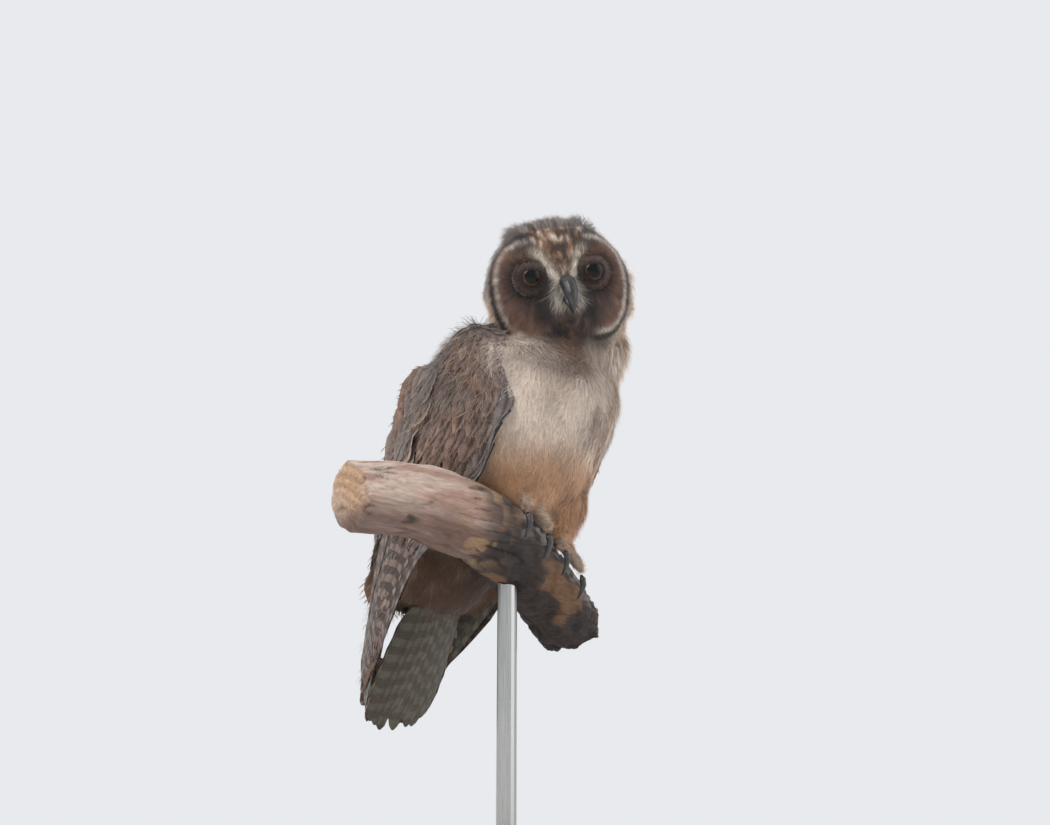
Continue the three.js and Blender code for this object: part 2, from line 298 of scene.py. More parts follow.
class Finish:
    """A new material. The input of a node is a value or the output of another node."""

    def __init__(self, name, **sockets):
        self.material = bpy.data.materials.new(name)
        self.material.use_nodes = True
        self.tree = self.material.node_tree
        self.shader = self.tree.nodes["Principled BSDF"]
        for key, value in sockets.items():
            self.shader.inputs[key.replace("_", " ")].default_value = value

    def feed(self, socket, value):
        if isinstance(value, bpy.types.NodeSocket):
            self.tree.links.new(value, socket)
        else:
            socket.default_value = (*value, 1) if socket.type == "RGBA" else value

    def node(self, kind, inputs=(), output=0, **settings):
        made = self.tree.nodes.new("ShaderNode" + kind)
        for key, value in settings.items():
            setattr(made, key, value)
        for key, value in dict(inputs).items():
            self.feed(made.inputs[key], value)
        return made.outputs[output]

    def maths(self, operation, first, *others):
        """One operation over all the values. One with a single input ignores the zero."""
        for other in others or (0.0,):
            first = self.node("Math", {0: first, 1: other}, operation=operation)
        return first

    def plus(self, *values):
        return self.maths("ADD", *values)

    def times(self, *values):
        return self.maths("MULTIPLY", *values)

    def between(self, value, low, high, start=0.0, end=1.0):
        names = ("Value", "From Min", "From Max", "To Min", "To Max")
        return self.node("MapRange", zip(names, (value, low, high, start, end)))

    def blended(self, weight, first, second, mode="MIX"):
        """Mixes two colours, which the Mix node takes at its inputs 6 and 7."""
        return self.node("Mix", {0: weight, 6: first, 7: second}, 2, data_type="RGBA", blend_type=mode)

    def attribute(self, label, output="Fac"):
        return self.node("Attribute", (), output, attribute_name=label)

    def marking(self, shade):
        """The colours that the mesh carries, made lighter or darker."""
        return self.blended(1.0, self.attribute("marking", "Color"), shade, "MULTIPLY")

    def place(self):
        return self.node("TexCoord", (), "Object")

    def stretched(self, *scale):
        return self.node("Mapping", {"Vector": self.place(), "Scale": scale})

    def noise(self, scale, detail=4.0, roughness=0.6, vector=None, distortion=0.0):
        names = ("Vector", "Scale", "Detail", "Roughness", "Distortion")
        values = (vector or self.place(), scale, detail, roughness, distortion)
        return self.node("TexNoise", zip(names, values))

    def bump(self, height, distance, strength=0.6):
        inputs = {"Height": height, "Distance": distance * MM, "Strength": strength}
        self.feed(self.shader.inputs["Normal"], self.node("Bump", inputs))

    def coloured(self, colour):
        self.feed(self.shader.inputs["Base Color"], colour)
        return self.material

    def roughened(self, pattern, low, high):
        self.feed(self.shader.inputs["Roughness"], self.between(pattern, 0.3, 0.7, low, high))


def down_material():
    """Down takes its markings from the mesh, with a fine mottle over them."""
    made = Finish("down", Roughness=0.95, Sheen_Weight=0.25, Sheen_Roughness=0.6)
    return made.coloured(made.marking(made.between(made.noise(420, 3), 0.3, 0.7, 0.86, 1.1)))


def skin_material():
    made = Finish("skin", Roughness=0.85)
    made.bump(made.noise(1400, 4), 0.4)
    # The markings are painted darker on the skin, as shade deep under the coat, with a mottle over them.
    return made.coloured(made.marking(made.between(made.noise(600, 5), 0.3, 0.7, 0.55, 0.85)))


BAR_STEP = 9.5  # millimetres from one dark bar of a flight feather to the next
BARB_STEP = 0.9


def vane_material():
    """Feathers with a shaft and barbs. The mesh says how strong their bars, streaks and pale edges are; the
    streak strength also sets a painted shadow along the leading side, where each feather meets the next.
    """
    made = Finish("vane", Roughness=0.85, Sheen_Weight=0.2, Sheen_Roughness=0.5)
    labels = ("along", "across", "share", "seed", "bars", "streak", "edge")
    along, across, share, seed, bars, streak, edge = map(made.attribute, labels)
    off_shaft = made.maths("ABSOLUTE", across)
    ragged = made.noise(260, 3)
    bar_phase = made.plus(
        made.times(along, FULL_TURN / BAR_STEP),
        made.times(off_shaft, -1.3),
        made.times(ragged, 3.0),
        made.times(seed, FULL_TURN),
    )
    barb_phase = made.plus(made.maths("SUBTRACT", along, made.times(off_shaft, 3.5)), made.times(ragged, 0.8))
    barbs = made.maths("SINE", made.times(barb_phase, FULL_TURN / BARB_STEP))
    middle = made.between(made.plus(off_shaft, ragged), 0.55, 0.85, 1.0, 0.0)
    outline = made.maths("MAXIMUM", made.between(off_shaft, 0.62, 0.95), made.between(share, 0.84, 0.97))
    colour = made.attribute("marking", "Color")
    for weight, over in (
        (made.times(made.between(made.maths("SINE", bar_phase), -0.35, 0.1), bars), DARK_BROWN * 0.8),
        (made.times(middle, streak), DARK_BROWN * 0.7),
        (made.times(outline, edge), BUFF * 0.8),
        (made.between(off_shaft, 0.02, 0.06, 0.55, 0.0), DARK_BROWN),
        # Painted shadow: a dark line along the leading side, where each feather meets the next.
        (made.times(made.between(across, 0.6, 0.9), streak, 0.85), BLACK_BROWN),
    ):
        colour = made.blended(weight, colour, over)
    made.bump(barbs, 0.12, 0.5)
    return made.coloured(made.blended(1.0, colour, made.between(barbs, -1.0, 1.0, 0.84, 1.08), "MULTIPLY"))


def horn_material():
    made = Finish("horn", Coat_Weight=0.3, Coat_Roughness=0.2)
    layers = made.noise(300, 5, distortion=1.5)
    made.roughened(layers, 0.28, 0.5)
    made.bump(layers, 0.1, 0.4)
    return made.coloured(made.blended(made.between(layers, 0.35, 0.7), rgb(16, 15, 16), rgb(44, 40, 40)))


PUPIL = 0.42  # sine of the angle from the eye's axis to the rim of the pupil
IRIS = 0.62


def eye_material():
    """A wet eye: black pupil, an orange iris painted dark brown as in shade, with fine streaks, dark rim."""
    made = Finish("eye", Roughness=0.14, Coat_Weight=0.2, Coat_Roughness=0.03, Specular_IOR_Level=0.1)
    off_axis = made.attribute("off_axis")
    streaks = {"X": made.times(made.attribute("round_axis"), 9.0), "Y": made.times(off_axis, 1.2)}
    fibres = made.noise(3.0, 6, 0.7, made.node("CombineXYZ", streaks))
    # Painted shade: the iris is painted dark brown, as an orange iris looks in shade.
    iris = made.blended(made.between(fibres, 0.3, 0.7), rgb(38, 23, 17), rgb(78, 50, 34))
    rimmed = made.blended(made.between(off_axis, IRIS - 0.1, IRIS), iris, rgb(22, 14, 12))
    pupil = made.between(off_axis, PUPIL - 0.03, PUPIL + 0.02, 1.0, 0.0)
    return made.coloured(made.blended(pupil, rimmed, rgb(6, 5, 6)))


def bark_material():
    """Bark and bare wood take their colours from the mesh, with fissures and grain over them."""
    made = Finish("bark", Roughness=0.88)
    grain = made.noise(620, 7, 0.7, made.stretched(0.12, 1.0, 1.0))
    made.bump(made.plus(grain, made.times(made.noise(1900, 5, 0.6), 0.4)), 1.0, 0.7)
    return made.coloured(made.marking(made.between(grain, 0.3, 0.7, 0.55, 1.25)))


def base_material():
    """Oiled wood with long grain."""
    made = Finish("base_wood", Coat_Weight=0.15, Coat_Roughness=0.3)
    along_grain = made.stretched(0.12, 1.0, 1.0)
    rings = made.noise(60, 6, 0.65, along_grain, 1.0)
    pores = made.noise(900, 3, 0.7, along_grain)
    made.roughened(rings, 0.36, 0.5)
    made.bump(pores, 0.1, 0.4)
    wood = made.blended(made.between(rings, 0.3, 0.7), rgb(92, 62, 42), rgb(150, 110, 76))
    return made.coloured(made.blended(made.between(pores, 0.55, 0.7, 0.0, 0.5), wood, rgb(60, 40, 28)))


def steel_material():
    made = Finish("brushed_steel", Metallic=1.0)
    brushed = made.noise(2500, 4, 0.6, made.stretched(1.0, 1.0, 0.02))
    made.roughened(brushed, 0.24, 0.42)
    return made.coloured(made.blended(brushed, rgb(150, 150, 148), rgb(190, 190, 188)))


MATERIALS = {
    "down": down_material(),
    "skin": skin_material(),
    "vane": vane_material(),
    "horn": horn_material(),
    "eye": eye_material(),
    "bark": bark_material(),
    "base": base_material(),
    "steel": steel_material(),
}

# The body's form: the flesh nodes joined and evened, with what each place is part of

FLESH = {
    "head": ["head"],
    "ear": ["ear_tuft_right", "ear_tuft_left"],
    "neck": ["neck"],
    "trunk": ["trunk"],
    "wing": ["wing_right", "wing_left"],
    "tail": ["tail"],
    "leg": ["leg_right", "leg_left"],
    "foot": ["foot_right", "foot_left"],
}
FLESH_NODES = [name for names in FLESH.values() for name in names]


def joined(names):
    """The nodes' meshes as one, with the place in the list that each triangle comes from."""
    points, triangles, owner, count = [], [], [], 0
    for index, name in enumerate(names):
        places, faces = node_arrays(name)
        points.append(places)
        triangles.append(faces + count)
        owner.append(np.full(len(faces), index))
        count += len(places)
    return np.vstack(points), np.vstack(triangles), np.concatenate(owner)


def drawn_even(points, edges, slack, rounds):
    """Evens the points where there is slack, so that the joins between the solids disappear."""
    for _ in range(rounds):
        points = points + (evened(points, edges, rounds=1) - points) * slack[:, None]
    return points


def make_form(voxel):
    """The bird's outer form, out to the tips of the coat. Its belongs has a weight for each part
    at each point."""
    cad_points, cad_triangles, owner = joined(FLESH_NODES)
    points, triangles = remeshed(cad_points, cad_triangles, voxel)
    edges = edges_of(triangles)
    tree = tree_of(cad_points, cad_triangles)
    nearest = [owner[tree.find_nearest(Vector(point))[2]] for point in points]
    group_of = [index for index, names in enumerate(FLESH.values()) for _ in names]
    weights = evened(np.eye(len(FLESH))[np.array(group_of)[nearest]], edges, rounds=8)
    belongs = dict(zip(FLESH, weights.T))
    slack = 1 - np.clip(0.75 * belongs["head"] + 0.97 * belongs["foot"], 0, 1)
    points = drawn_even(points, edges, slack, rounds=14)
    ear = belongs.pop("ear")
    loose = np.clip(belongs["neck"] + belongs["trunk"] + belongs["leg"] + 0.5 * ear, 0, 1)
    points = drawn_even(points, edges, loose, rounds=60)
    belongs["head"] = belongs["head"] + ear
    normals = unit(evened(normals_of(points, triangles), edges, rounds=3))
    return SimpleNamespace(points=points, triangles=triangles, edges=edges, belongs=belongs, normals=normals)


def head_fields(points):
    """Places on the face: across from its middle, height, and shares of the way to the disc's rim."""
    seen = to_head(points)
    across = np.abs(seen[:, 0])
    height = seen[:, 2]
    lower = np.where(height < 2, 30.0, 28.0)
    rim = (np.abs((across - 17) / 20.3) ** 2.3 + np.abs((height - 2) / lower) ** 2.3) ** (1 / 2.3)
    rim = np.where(across < 17, np.abs(height - 2) / lower, rim)
    return SimpleNamespace(
        seen=seen,
        side=np.where(seen[:, 0] < 0, -1.0, 1.0),
        across=across,
        height=height,
        rim=rim + 0.022 * np.maximum(0, seen[:, 1] + 13),
        from_eye=np.hypot(across - EYE_APART, height - EYE_HEIGHT),
        front=ramp(2.0, -8.0, seen[:, 1]),
    )


# The middle of the trunk: heights above the branch, and how far back it lies at each
AXIS_HEIGHTS = (-17, 11, 37, 62, 121)
AXIS_BACK = (62, 44, 20, 3, -4)
END_UNDER_VENT = (-60, 86)
END_UNDER_TAIL = (-120, 111)


def body_axis(height, low_end):
    """How far back the middle of the trunk lies at a height. low_end carries the line on downwards."""
    return np.interp(height, (low_end[0], *AXIS_HEIGHTS), (low_end[1], *AXIS_BACK)) + FEET_BACK


def trunk_side(points):
    """How far a place looks forwards, 1 on the breast to -1 on the back."""
    return np.clip((body_axis(points[:, 2] - PERCH_TOP, END_UNDER_VENT) - points[:, 1]) / 40, -1, 1)


COAT_DEPTH = {"neck": 8.0, "trunk": 8.5, "wing": 2.2, "tail": 1.6, "leg": 6.0, "foot": 0.9}


def coat_depth(points, belongs):
    """How far the skin lies under the tips of the coat."""
    face = head_fields(points)
    in_face = face.front * ramp(1.15, 0.95, face.rim)
    head = belongs["head"] * (5.5 - 3.9 * in_face)
    return sum((belongs[part] * depth for part, depth in COAT_DEPTH.items()), head)


# The line that the coat follows, from the top of the branch
SPINE = [
    (8, -4, 121),
    (8, -1, 79),
    (0, 3, 62),
    (0, 20, 37),
    (0, 44, 11),
    (0, 62, -17),
    (0, 80, -50),
    (0, 111, -118),
]
SPINE_STEPS = 60


def foot_root(points):
    """The place on the branch from which the toes of the nearest foot spread."""
    return np.where(points[:, :1] < 0, above(-17, -2, 4), above(17, -2, -6))


def lie_of_coat(points, normals, belongs):
    """The direction in which the coat lies at each place."""
    rows = spline(SPINE, np.linspace(0, 1, SPINE_STEPS)) + above(0, 0, 0)
    ahead = unit(np.gradient(rows, axis=0))
    nearest = np.linalg.norm(points[:, None] - rows[None], axis=2).argmin(1)
    face = head_fields(points)
    across, height, flat = face.across, face.height, 0 * face.height

    def on_face(sideways, upwards):
        return np.stack([face.side * sideways, flat, upwards + flat], 1)

    on_brow = ramp(9, 6, across - 0.22 * height) * ramp(0, 5, height)
    on_bill = ramp(13, 8, across) * ramp(-16, -12, height) * ramp(5, 0, height)
    on_chin = ramp(10, 7, across) * ramp(-11, -16, height)
    local = unit(on_face(across - EYE_APART, height - EYE_HEIGHT))
    for over, weight in (
        (on_face(0.55, 1.0), on_brow),
        (on_face(1.0, (height + 2) * 0.12), on_bill),
        (on_face(0.1, -1.0), on_chin),
    ):
        local = unit(paint(local, (unit(over), weight)))
    in_face = face.front * ramp(1.12, 0.95, face.rim)
    away = np.array([[0, 1.0, -0.15]]) @ HEAD_TURN.T
    head = paint(flatten(away, normals), (flatten(local @ HEAD_TURN.T, normals), in_face))
    lie = paint(
        flatten(ahead[nearest] + np.array([0, -0.12, -0.35]), normals),
        (unit(head), belongs["head"]),
        (flatten(np.array([[0, 0.1, -1.0]]), normals), belongs["leg"] * 0.7),
        (flatten(points - foot_root(points), normals), belongs["foot"]),
    )
    return flatten(lie, normals)


def body_marking(points, belongs):
    """The coat's colours away from the face: cream breast, rusty belly, grey-brown back, a brown throat
    painted darker as shade under the face, and painted shade on the underside below the branch.
    """
    x = points[:, 0]
    height = points[:, 2] - PERCH_TOP
    forward = trunk_side(points)
    clumps = noise(points * (1, 1, 0.4), 7, 1)
    fine = noise(points, 2.6, 2)
    streaks = ramp(0.1, 0.55, noise(points * (1, 1, 0.2), 4.2, 3))
    patches = ramp(0.0, 0.4, noise(points * (1, 1, 0.35), 9, 44))
    ashy = ramp(0.1, 0.5, noise(points, 6, 45))
    thin = ramp(0.15, 0.5, noise(points * (1, 1, 0.12), 2.4, 47))
    bars = ramp(0.25, 0.75, np.sin(height * 1.15 + 1.6 * clumps + 0.006 * x**2))
    chest = ramp(10, 26, x) * ramp(34, 50, height) * ramp(92, 76, height)
    breast = ramp(0.3, 0.8, forward)
    # The throat band is brown, painted darker as shade under the face disc.
    throat_and_shade = bell(x + 8, 24) * ramp(68, 81, height) * breast
    dark_streak = bell(x - 11 - 2 * clumps, 5) * ramp(36, 46, height) * ramp(68, 56, height)
    # Painted shade: below the branch the underside is painted dark brown, as the shade under the body and
    # perch, with ash mottles over it.
    under = ramp(14, -12, height) * belongs["trunk"]
    colours = paint(
        np.tile(BUFF, (len(points), 1)),
        (CREAM, ramp(0.05, 0.5, forward) * ramp(25, 50, height) * 0.9),
        (RUST, ramp(45, 18, height) * 0.6 * ramp(-0.6, 0.1, forward)),
        (GREY_BROWN, ramp(0.0, -0.45, forward) * 0.7),
        (BROWN, bars * (0.06 + 0.24 * ramp(0.2, -0.4, forward))),
        (TAN, streaks * (0.22 + 0.4 * chest)),
        (TAN * 0.8, patches * (0.12 + 0.7 * chest)),
        (BROWN, ramp(0.15, 0.5, clumps) * (0.12 + 0.3 * chest)),
        (BROWN, thin * 0.22 * ramp(-0.1, 0.2, forward)),
        (BROWN * 1.15, throat_and_shade * np.clip(0.86 + 0.4 * clumps + 0.2 * thin, 0, 0.96)),
        (BROWN * 1.2, dark_streak * breast * (0.8 + 0.15 * thin)),
        (BUFF * 0.85, ramp(80, 104, height) * ramp(0.3, -0.3, forward) * 0.75),
        (DARK_BROWN * 1.3, under * 0.9),
        (ASH * 0.7, under * ashy * 0.45),
        (BROWN, belongs["tail"] * 0.35),
        ((ASH + BUFF) / 2, belongs["foot"] * 0.9),
        (RUST, belongs["leg"] * 0.35),
        (PINK_BROWN * 0.5, belongs["wing"] * 0.9),
    )
    return colours * (1 + 0.10 * fine[:, None])


def face_marking(points):
    """The face: black eye hollows deepened with painted shade, darkest on the bird's right, plum-brown discs,
    cream inside a black rim, dimmer on the bird's right as painted shade, pale brows, mottled crown.
    """
    face = head_fields(points)
    seen, across, height = face.seen, face.across, face.height
    mottle = noise(seen * (1, 1, 0.6), 3.4, 4)
    fine = noise(seen, 1.3, 5)
    round_eye = np.arctan2(height - EYE_HEIGHT, across - EYE_APART)
    rays = noise(np.stack([round_eye * 13, 0.14 * face.from_eye, face.side], 1), 1.0, 6)
    outward = np.clip((across - EYE_APART) / 18, -1, 1)
    streaky = noise(seen * (1, 0.4, 0.35), 1.7, 7)
    crown = paint(
        np.tile(GREY_BROWN, (len(points), 1)),
        (DARK_BROWN * 0.9, ramp(-0.35, 0.25, streaky + 0.5 * mottle) * 0.92),
        (ASH, ramp(0.2, 0.6, noise(seen * (1, 0.4, 0.35), 1.5, 8)) * 0.75),
        (BUFF, ramp(14, -14, height) * 0.8),
        (BUFF, ramp(20, 34, seen[:, 0]) * ramp(36, 18, height) * 0.85),
    )
    # The hollow is the owl's own black round each eye, painted deeper as shade in the eye hollows.
    hollow = ramp(16.5 + 2 * ramp(0.3, -0.5, outward), 8.0, face.from_eye + 1.2 * rays)
    stripe = bell(face.rim - 0.87 + 0.02 * rays, 0.05) * ramp(-0.3, 0.25, outward)
    disc = paint(
        np.tile(PLUM_BROWN, (len(points), 1)),
        (PINK_BROWN * 0.6, ramp(-0.1, 0.7, outward) * 0.6),
        (PINK_BROWN * 0.6, ramp(-6, -18, height) * ramp(-0.2, 0.2, outward) * 0.6),
        (BLACK_BROWN, ramp(0.2, 0.7, rays) * 0.55),
        (TAN, ramp(0.25, 0.7, -rays) * 0.35),
        # Painted shade: the bird's right hollow (side -1) is painted darker than the left.
        (BLACK_BROWN, hollow * (0.82 - 0.1 * face.side)),
        (BLACK_BROWN, bell(across - 13.5, 7) * bell(height + 13, 8) * 0.95),
        (BLACK_BROWN, bell(across - 12, 9) * bell(height - 23, 6) * 0.9),
        (TAN, bell(across - 17, 7) * bell(height - 17.5, 2.6) * (0.55 + 0.4 * rays)),
        # Painted shade: the cream stripe is painted dimmer on the bird's right (side -1), the shaded side.
        (CREAM * 0.85, stripe * np.clip(0.62 + 0.16 * face.side + 0.4 * rays, 0, 1)),
    )
    wedge = ramp(1.5, -1.5, across - (3.5 + 0.46 * np.maximum(height - 4, 0))) * ramp(2, 6, height)
    lines = noise(seen * (1, 1, 0.22), 1.5, 9)
    forehead = paint(
        np.tile(TAN * 0.75, (len(points), 1)),
        (DARK_BROWN, ramp(-0.3, 0.2, lines) * 0.95),
        (CREAM, ramp(0.3, 0.6, -lines) * 0.6),
    )
    brow_line = across - (3.2 + 0.55 * np.maximum(height - 2, 0))
    brow = bell(brow_line, 2.0 + 0.05 * np.maximum(height, 0)) * ramp(-2, 3, height)
    brow = brow * ramp(25, 16, height) * ramp(-0.6, 0.1, lines + 0.4)
    chin = ramp(12, 8, across) * ramp(-14, -19, height)
    outer_rim = 1.13 + 0.025 * np.sin(round_eye * 24 + 2 * mottle) + 0.07 * ramp(5, 22, height)
    edge = ramp(0.93, 0.96, face.rim) * ramp(outer_rim, outer_rim - 0.06, face.rim)
    edge = np.where(height > 8, edge * (1 - wedge), edge)
    colours = paint(
        disc,
        (forehead, wedge),
        (PALE, brow * 0.95),
        (ASH * 0.8, bell(across - 4, 3.5) * bell(height + 4, 8) * 0.7),
        (BLACK_BROWN, chin * 0.85),
        (TAN, chin * ramp(0.0, 0.6, -fine) * 0.5),
        (BLACK_BROWN * 0.8, edge * (0.98 - 0.2 * ramp(0.3, 0.6, fine))),
        (crown, np.maximum(ramp(outer_rim - 0.06, outer_rim, face.rim), 1 - face.front)),
    )
    return colours * (1 + 0.12 * fine[:, None])


def marking(points, belongs):
    head = belongs["head"][:, None]
    return body_marking(points, belongs) * (1 - head) + face_marking(points) * head


form = make_form(voxel=1.6)
form.depth = coat_depth(form.points, form.belongs)
form.lie = lie_of_coat(form.points, form.normals, form.belongs)
form_tree = tree_of(form.points, form.triangles)

# Skin


def local_thickness(most):
    """How thick the form is under each vertex."""
    found = []
    for point, normal in zip(form.points, form.normals):
        inwards = Vector(-normal)
        hit = form_tree.ray_cast(Vector(point) + inwards * 0.3, inwards, most)
        found.append(hit[3] if hit[0] else most)
    return np.array(found)


MOUND_RISE = 8.8
MOUND_REACH = 14.5  # from the middle of the eye
MOUND_HOLE = 5.2  # behind the eyeball the skin stays where it is


def round_the_eyes(points):
    """Raises the skin round each eyeball into a low mound, which carries the lids."""
    seen = to_head(points)
    for side in (-1, 1):
        across = np.hypot(seen[:, 0] - side * EYE_APART, seen[:, 2] - EYE_HEIGHT)
        mound = EYE_FRONT - MOUND_RISE * ramp(MOUND_REACH, 3.0, across)
        raised = (across > MOUND_HOLE) & (across < MOUND_REACH) & (seen[:, 1] < 0)
        seen[:, 1] = np.where(raised, np.minimum(seen[:, 1], mound), seen[:, 1])
    return from_head(seen)


LID_POLAR = (35, 35.5, 36.5, 38.5, 41, 44, 48, 52, 57)  # degrees from the eye's axis
LID_RADIUS = (8.7, 9.02, 9.25, 9.45, 9.6, 9.72, 9.75, 9.6, 9.2)
LID_COLUMNS = 72


def lid_shell(side):
    """The upper and lower lids as one ring of folds round the eye, as points and normals."""
    turn = np.linspace(0, FULL_TURN, LID_COLUMNS, endpoint=False)[None]
    polar = np.radians(LID_POLAR)[:, None]
    hooded = np.maximum(np.sin(turn), 0) ** 1.5
    open_part = ramp(math.radians(60), math.radians(36), polar)
    polar = polar - open_part * np.radians(13.0 * hooded - 1.0)
    folds = 0.06 * np.sin(np.degrees(polar) * 1.6 + 0.8 * np.sin(2 * turn)) * (1 - open_part**4)
    radius = np.array(LID_RADIUS)[:, None] + folds + 0.3 * hooded * bell(polar - math.radians(42), 0.14)
    local = on_globe(polar, turn)
    centre = np.array([side * EYE_APART, EYE_FRONT, EYE_HEIGHT])
    points = from_head((radius[..., None] * local + centre).reshape(-1, 3))
    return points, local.reshape(-1, 3) @ HEAD_TURN.T


def make_skin():
    depth = evened(np.minimum(form.depth, 0.34 * local_thickness(most=40.0)), form.edges, rounds=6)
    inner = form.points - form.normals * depth[:, None]
    form.skin = round_the_eyes(evened(inner, form.edges, rounds=4))
    form.depth = np.maximum(depth, 0.6)
    lids = np.vstack([lid_shell(side)[0] for side in (-1, 1)])
    quads = ring_quads(len(LID_POLAR), LID_COLUMNS) + len(form.skin)
    faces = [form.triangles, np.vstack([quads, quads + len(lids) // 2])]
    lid_colours = np.tile(BLACK_BROWN * 0.8, (len(lids), 1))
    colours = np.vstack([marking(form.points, form.belongs), lid_colours])
    skin = mesh_piece("skin", np.vstack([form.skin, lids]), faces, "skin", {"marking": colours})
    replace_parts(skin, *FLESH_NODES)


make_skin()

# Down: tufts of thin tapered strands


MAP_FROM = -125.0  # the map of the body begins at this height from the top of the branch
MAP_TALL = 270.0
PATCH = 0.003  # side of a tuft's patch on the map


def on_map(across, upwards):
    """Places on a map that keeps a margin, from shares of its width and height."""
    return 0.02 + 0.95 * np.stack([across, upwards], 1)


def unwrap_sphere(points):
    """Longitude and latitude round the head's own axis."""
    seen = unit(to_head(points))
    turn = np.arctan2(seen[:, 0], -seen[:, 1]) / FULL_TURN + 0.5
    return on_map(turn, np.arcsin(np.clip(seen[:, 2], -1, 1)) / math.pi + 0.5)


def unwrap_body(points):
    """Angle round the body's axis, and height along it."""
    height = points[:, 2] - PERCH_TOP
    ahead = body_axis(height, END_UNDER_TAIL) - points[:, 1]
    turn = np.arctan2(points[:, 0], ahead) / FULL_TURN + 0.5
    return on_map(turn, np.clip((height - MAP_FROM) / MAP_TALL, 0, 1))


def strands(root, normal, lie, length, rise, width, tint, tip_tint, place, steps=3):
    """Thin tapered blades. Returns points, faces, colours, patches and soft normals."""
    count = len(root)
    at = np.linspace(0, 1, steps)
    s = at[None, :, None]
    length, rise, width = (np.broadcast_to(v, (count,))[:, None, None] for v in (length, rise, width))
    side = np.cross(normal, lie)
    roll = rng.normal(0, 0.45, (count, 1))
    across = unit(side * np.cos(roll) + normal * np.sin(roll))
    sway = rng.normal(0, 0.22, (count, 1, 1))
    # Each strand rises and then droops.
    path = root[:, None] + lie[:, None] * length * s
    path = path + normal[:, None] * (rise * (1 - (1 - s) ** 2) - (length * s) ** 2 / 100)
    path = path + side[:, None] * length * sway * s**2
    half = width * (0.8 + 0.5 * s) * (1 - s) ** 0.5 / 2 * across[:, None]
    body = steps - 1
    left, right = path[:, :body] - half[:, :body], path[:, :body] + half[:, :body]
    points = np.concatenate([left, right, path[:, body:]], 1)
    each = 2 * body + 1
    first = each * np.arange(count)[:, None]
    low = np.arange(body - 1)
    quads = np.stack([low, low + 1, low + body + 1, low + body], 1)
    quads = (first[:, :, None] + quads[None]).reshape(-1, 4)
    tips = first + np.array([[body - 1, 2 * body, 2 * body - 1]])
    along = np.concatenate([at[:body], at[:body], [1.0]])
    weight = along[None, :, None]
    colours = tint[:, None] * (1 - weight) + tip_tint[:, None] * weight
    local = np.stack([along, np.repeat([0, 1, 0.5], [body, body, 1])], 1)
    patches = place[:, None] + (local[None] - 0.5) * PATCH
    facing = unit(normal + 0.25 * np.cross(lie, across) + rng.normal(0, 0.1, (count, 3)))
    facing = np.repeat(facing, each, axis=0)
    return points.reshape(-1, 3), [quads, tips], colours.reshape(-1, 3), patches.reshape(-1, 2), facing


def strand_piece(name, grown):
    points, faces, colours, patches, facing = grown
    mesh_piece(name, points, faces, "down", {"marking": colours}, patches, facing)


def scatter(density):
    """Random roots on the skin, so many to a square millimetre, as triangles and shares of their corners."""
    a, b, c = (form.skin[form.triangles[:, corner]] for corner in range(3))
    area = np.linalg.norm(np.cross(b - a, c - a), axis=1) / 2
    wanted = area * density[form.triangles].mean(1)
    count = int(wanted.sum())
    run = np.cumsum(wanted)
    even = (np.arange(count) + rng.random(count)) * run[-1] / count
    chosen = np.minimum(np.searchsorted(run, even), len(run) - 1)
    u, v = np.sqrt(rng.random(count)), rng.random(count)
    return form.triangles[chosen], np.stack([1 - u, u * (1 - v), u * v], 1)


def down(name, per_tuft, look, unwrap):
    """Tufts over a part of the skin. look gives the length, rise, width and colours from the roots."""
    corners, shares = scatter(density[name] / per_tuft)

    def sampled(values):
        return np.einsum("nc,nc...->n...", shares, values[corners])

    normal = unit(sampled(form.normals))
    at = SimpleNamespace(
        points=sampled(form.points),
        depth=sampled(form.depth),
        lie=flatten(sampled(form.lie), normal),
        belongs={group: sampled(weight) for group, weight in form.belongs.items()},
    )
    chosen = look(at)
    lie = chosen.get("lie", at.lie)
    tufts = len(normal)
    many = np.repeat(np.arange(tufts), per_tuft)
    count = len(many)
    fan = rng.normal(0, chosen["fan"], (count, 1))
    side = np.cross(normal, lie)
    heading = unit(lie[many] * np.cos(fan) + side[many] * np.sin(fan))
    spread = rng.normal(0, chosen["spread"], (count, 2))
    start = sampled(form.skin)[many] + lie[many] * spread[:, :1] + side[many] * spread[:, 1:]
    length = chosen["length"][many] * rng.uniform(0.72, 1.12, count)
    tuft_shade = 1 + rng.normal(0, chosen.get("uneven", 0.1), (tufts, 1))
    bright = np.maximum(tuft_shade[many] * (1 + rng.normal(0, 0.08, (count, 1))), 0.2)
    rise = chosen["rise"][many] * rng.uniform(0.6, 1.2, count)
    base, tip = chosen["base"][many] * bright, chosen["tip"][many] * bright
    place = unwrap(at.points)[many]
    grown = strands(start, normal[many], heading, length, rise, chosen["width"], base, tip, place)
    strand_piece(name, grown)


def body_look(length_share, rise_share=0.95):
    def look(at):
        colours = marking(at.points, at.belongs)
        height = at.points[:, 2] - PERCH_TOP
        ruff = bell(at.points[:, 0] - 34, 14) * bell(height - 108, 16)
        settled = ramp(100, 86, height) * ramp(0.0, -0.25, trunk_side(at.points))
        lumps = noise(at.points * (1, 1, 0.55), 6, 43)
        return dict(
            length=at.depth * length_share * (1 - 0.3 * settled),
            rise=at.depth * (rise_share * (1 - 0.7 * settled) * (1 + 0.22 * lumps) + 0.8 * ruff),
            width=0.23,
            fan=0.26,
            spread=0.7,
            uneven=0.08,
            base=colours * 0.74,
            tip=np.clip(colours * (1.12 + 0.12 * lumps[:, None]), 0, 1),
        )

    return look


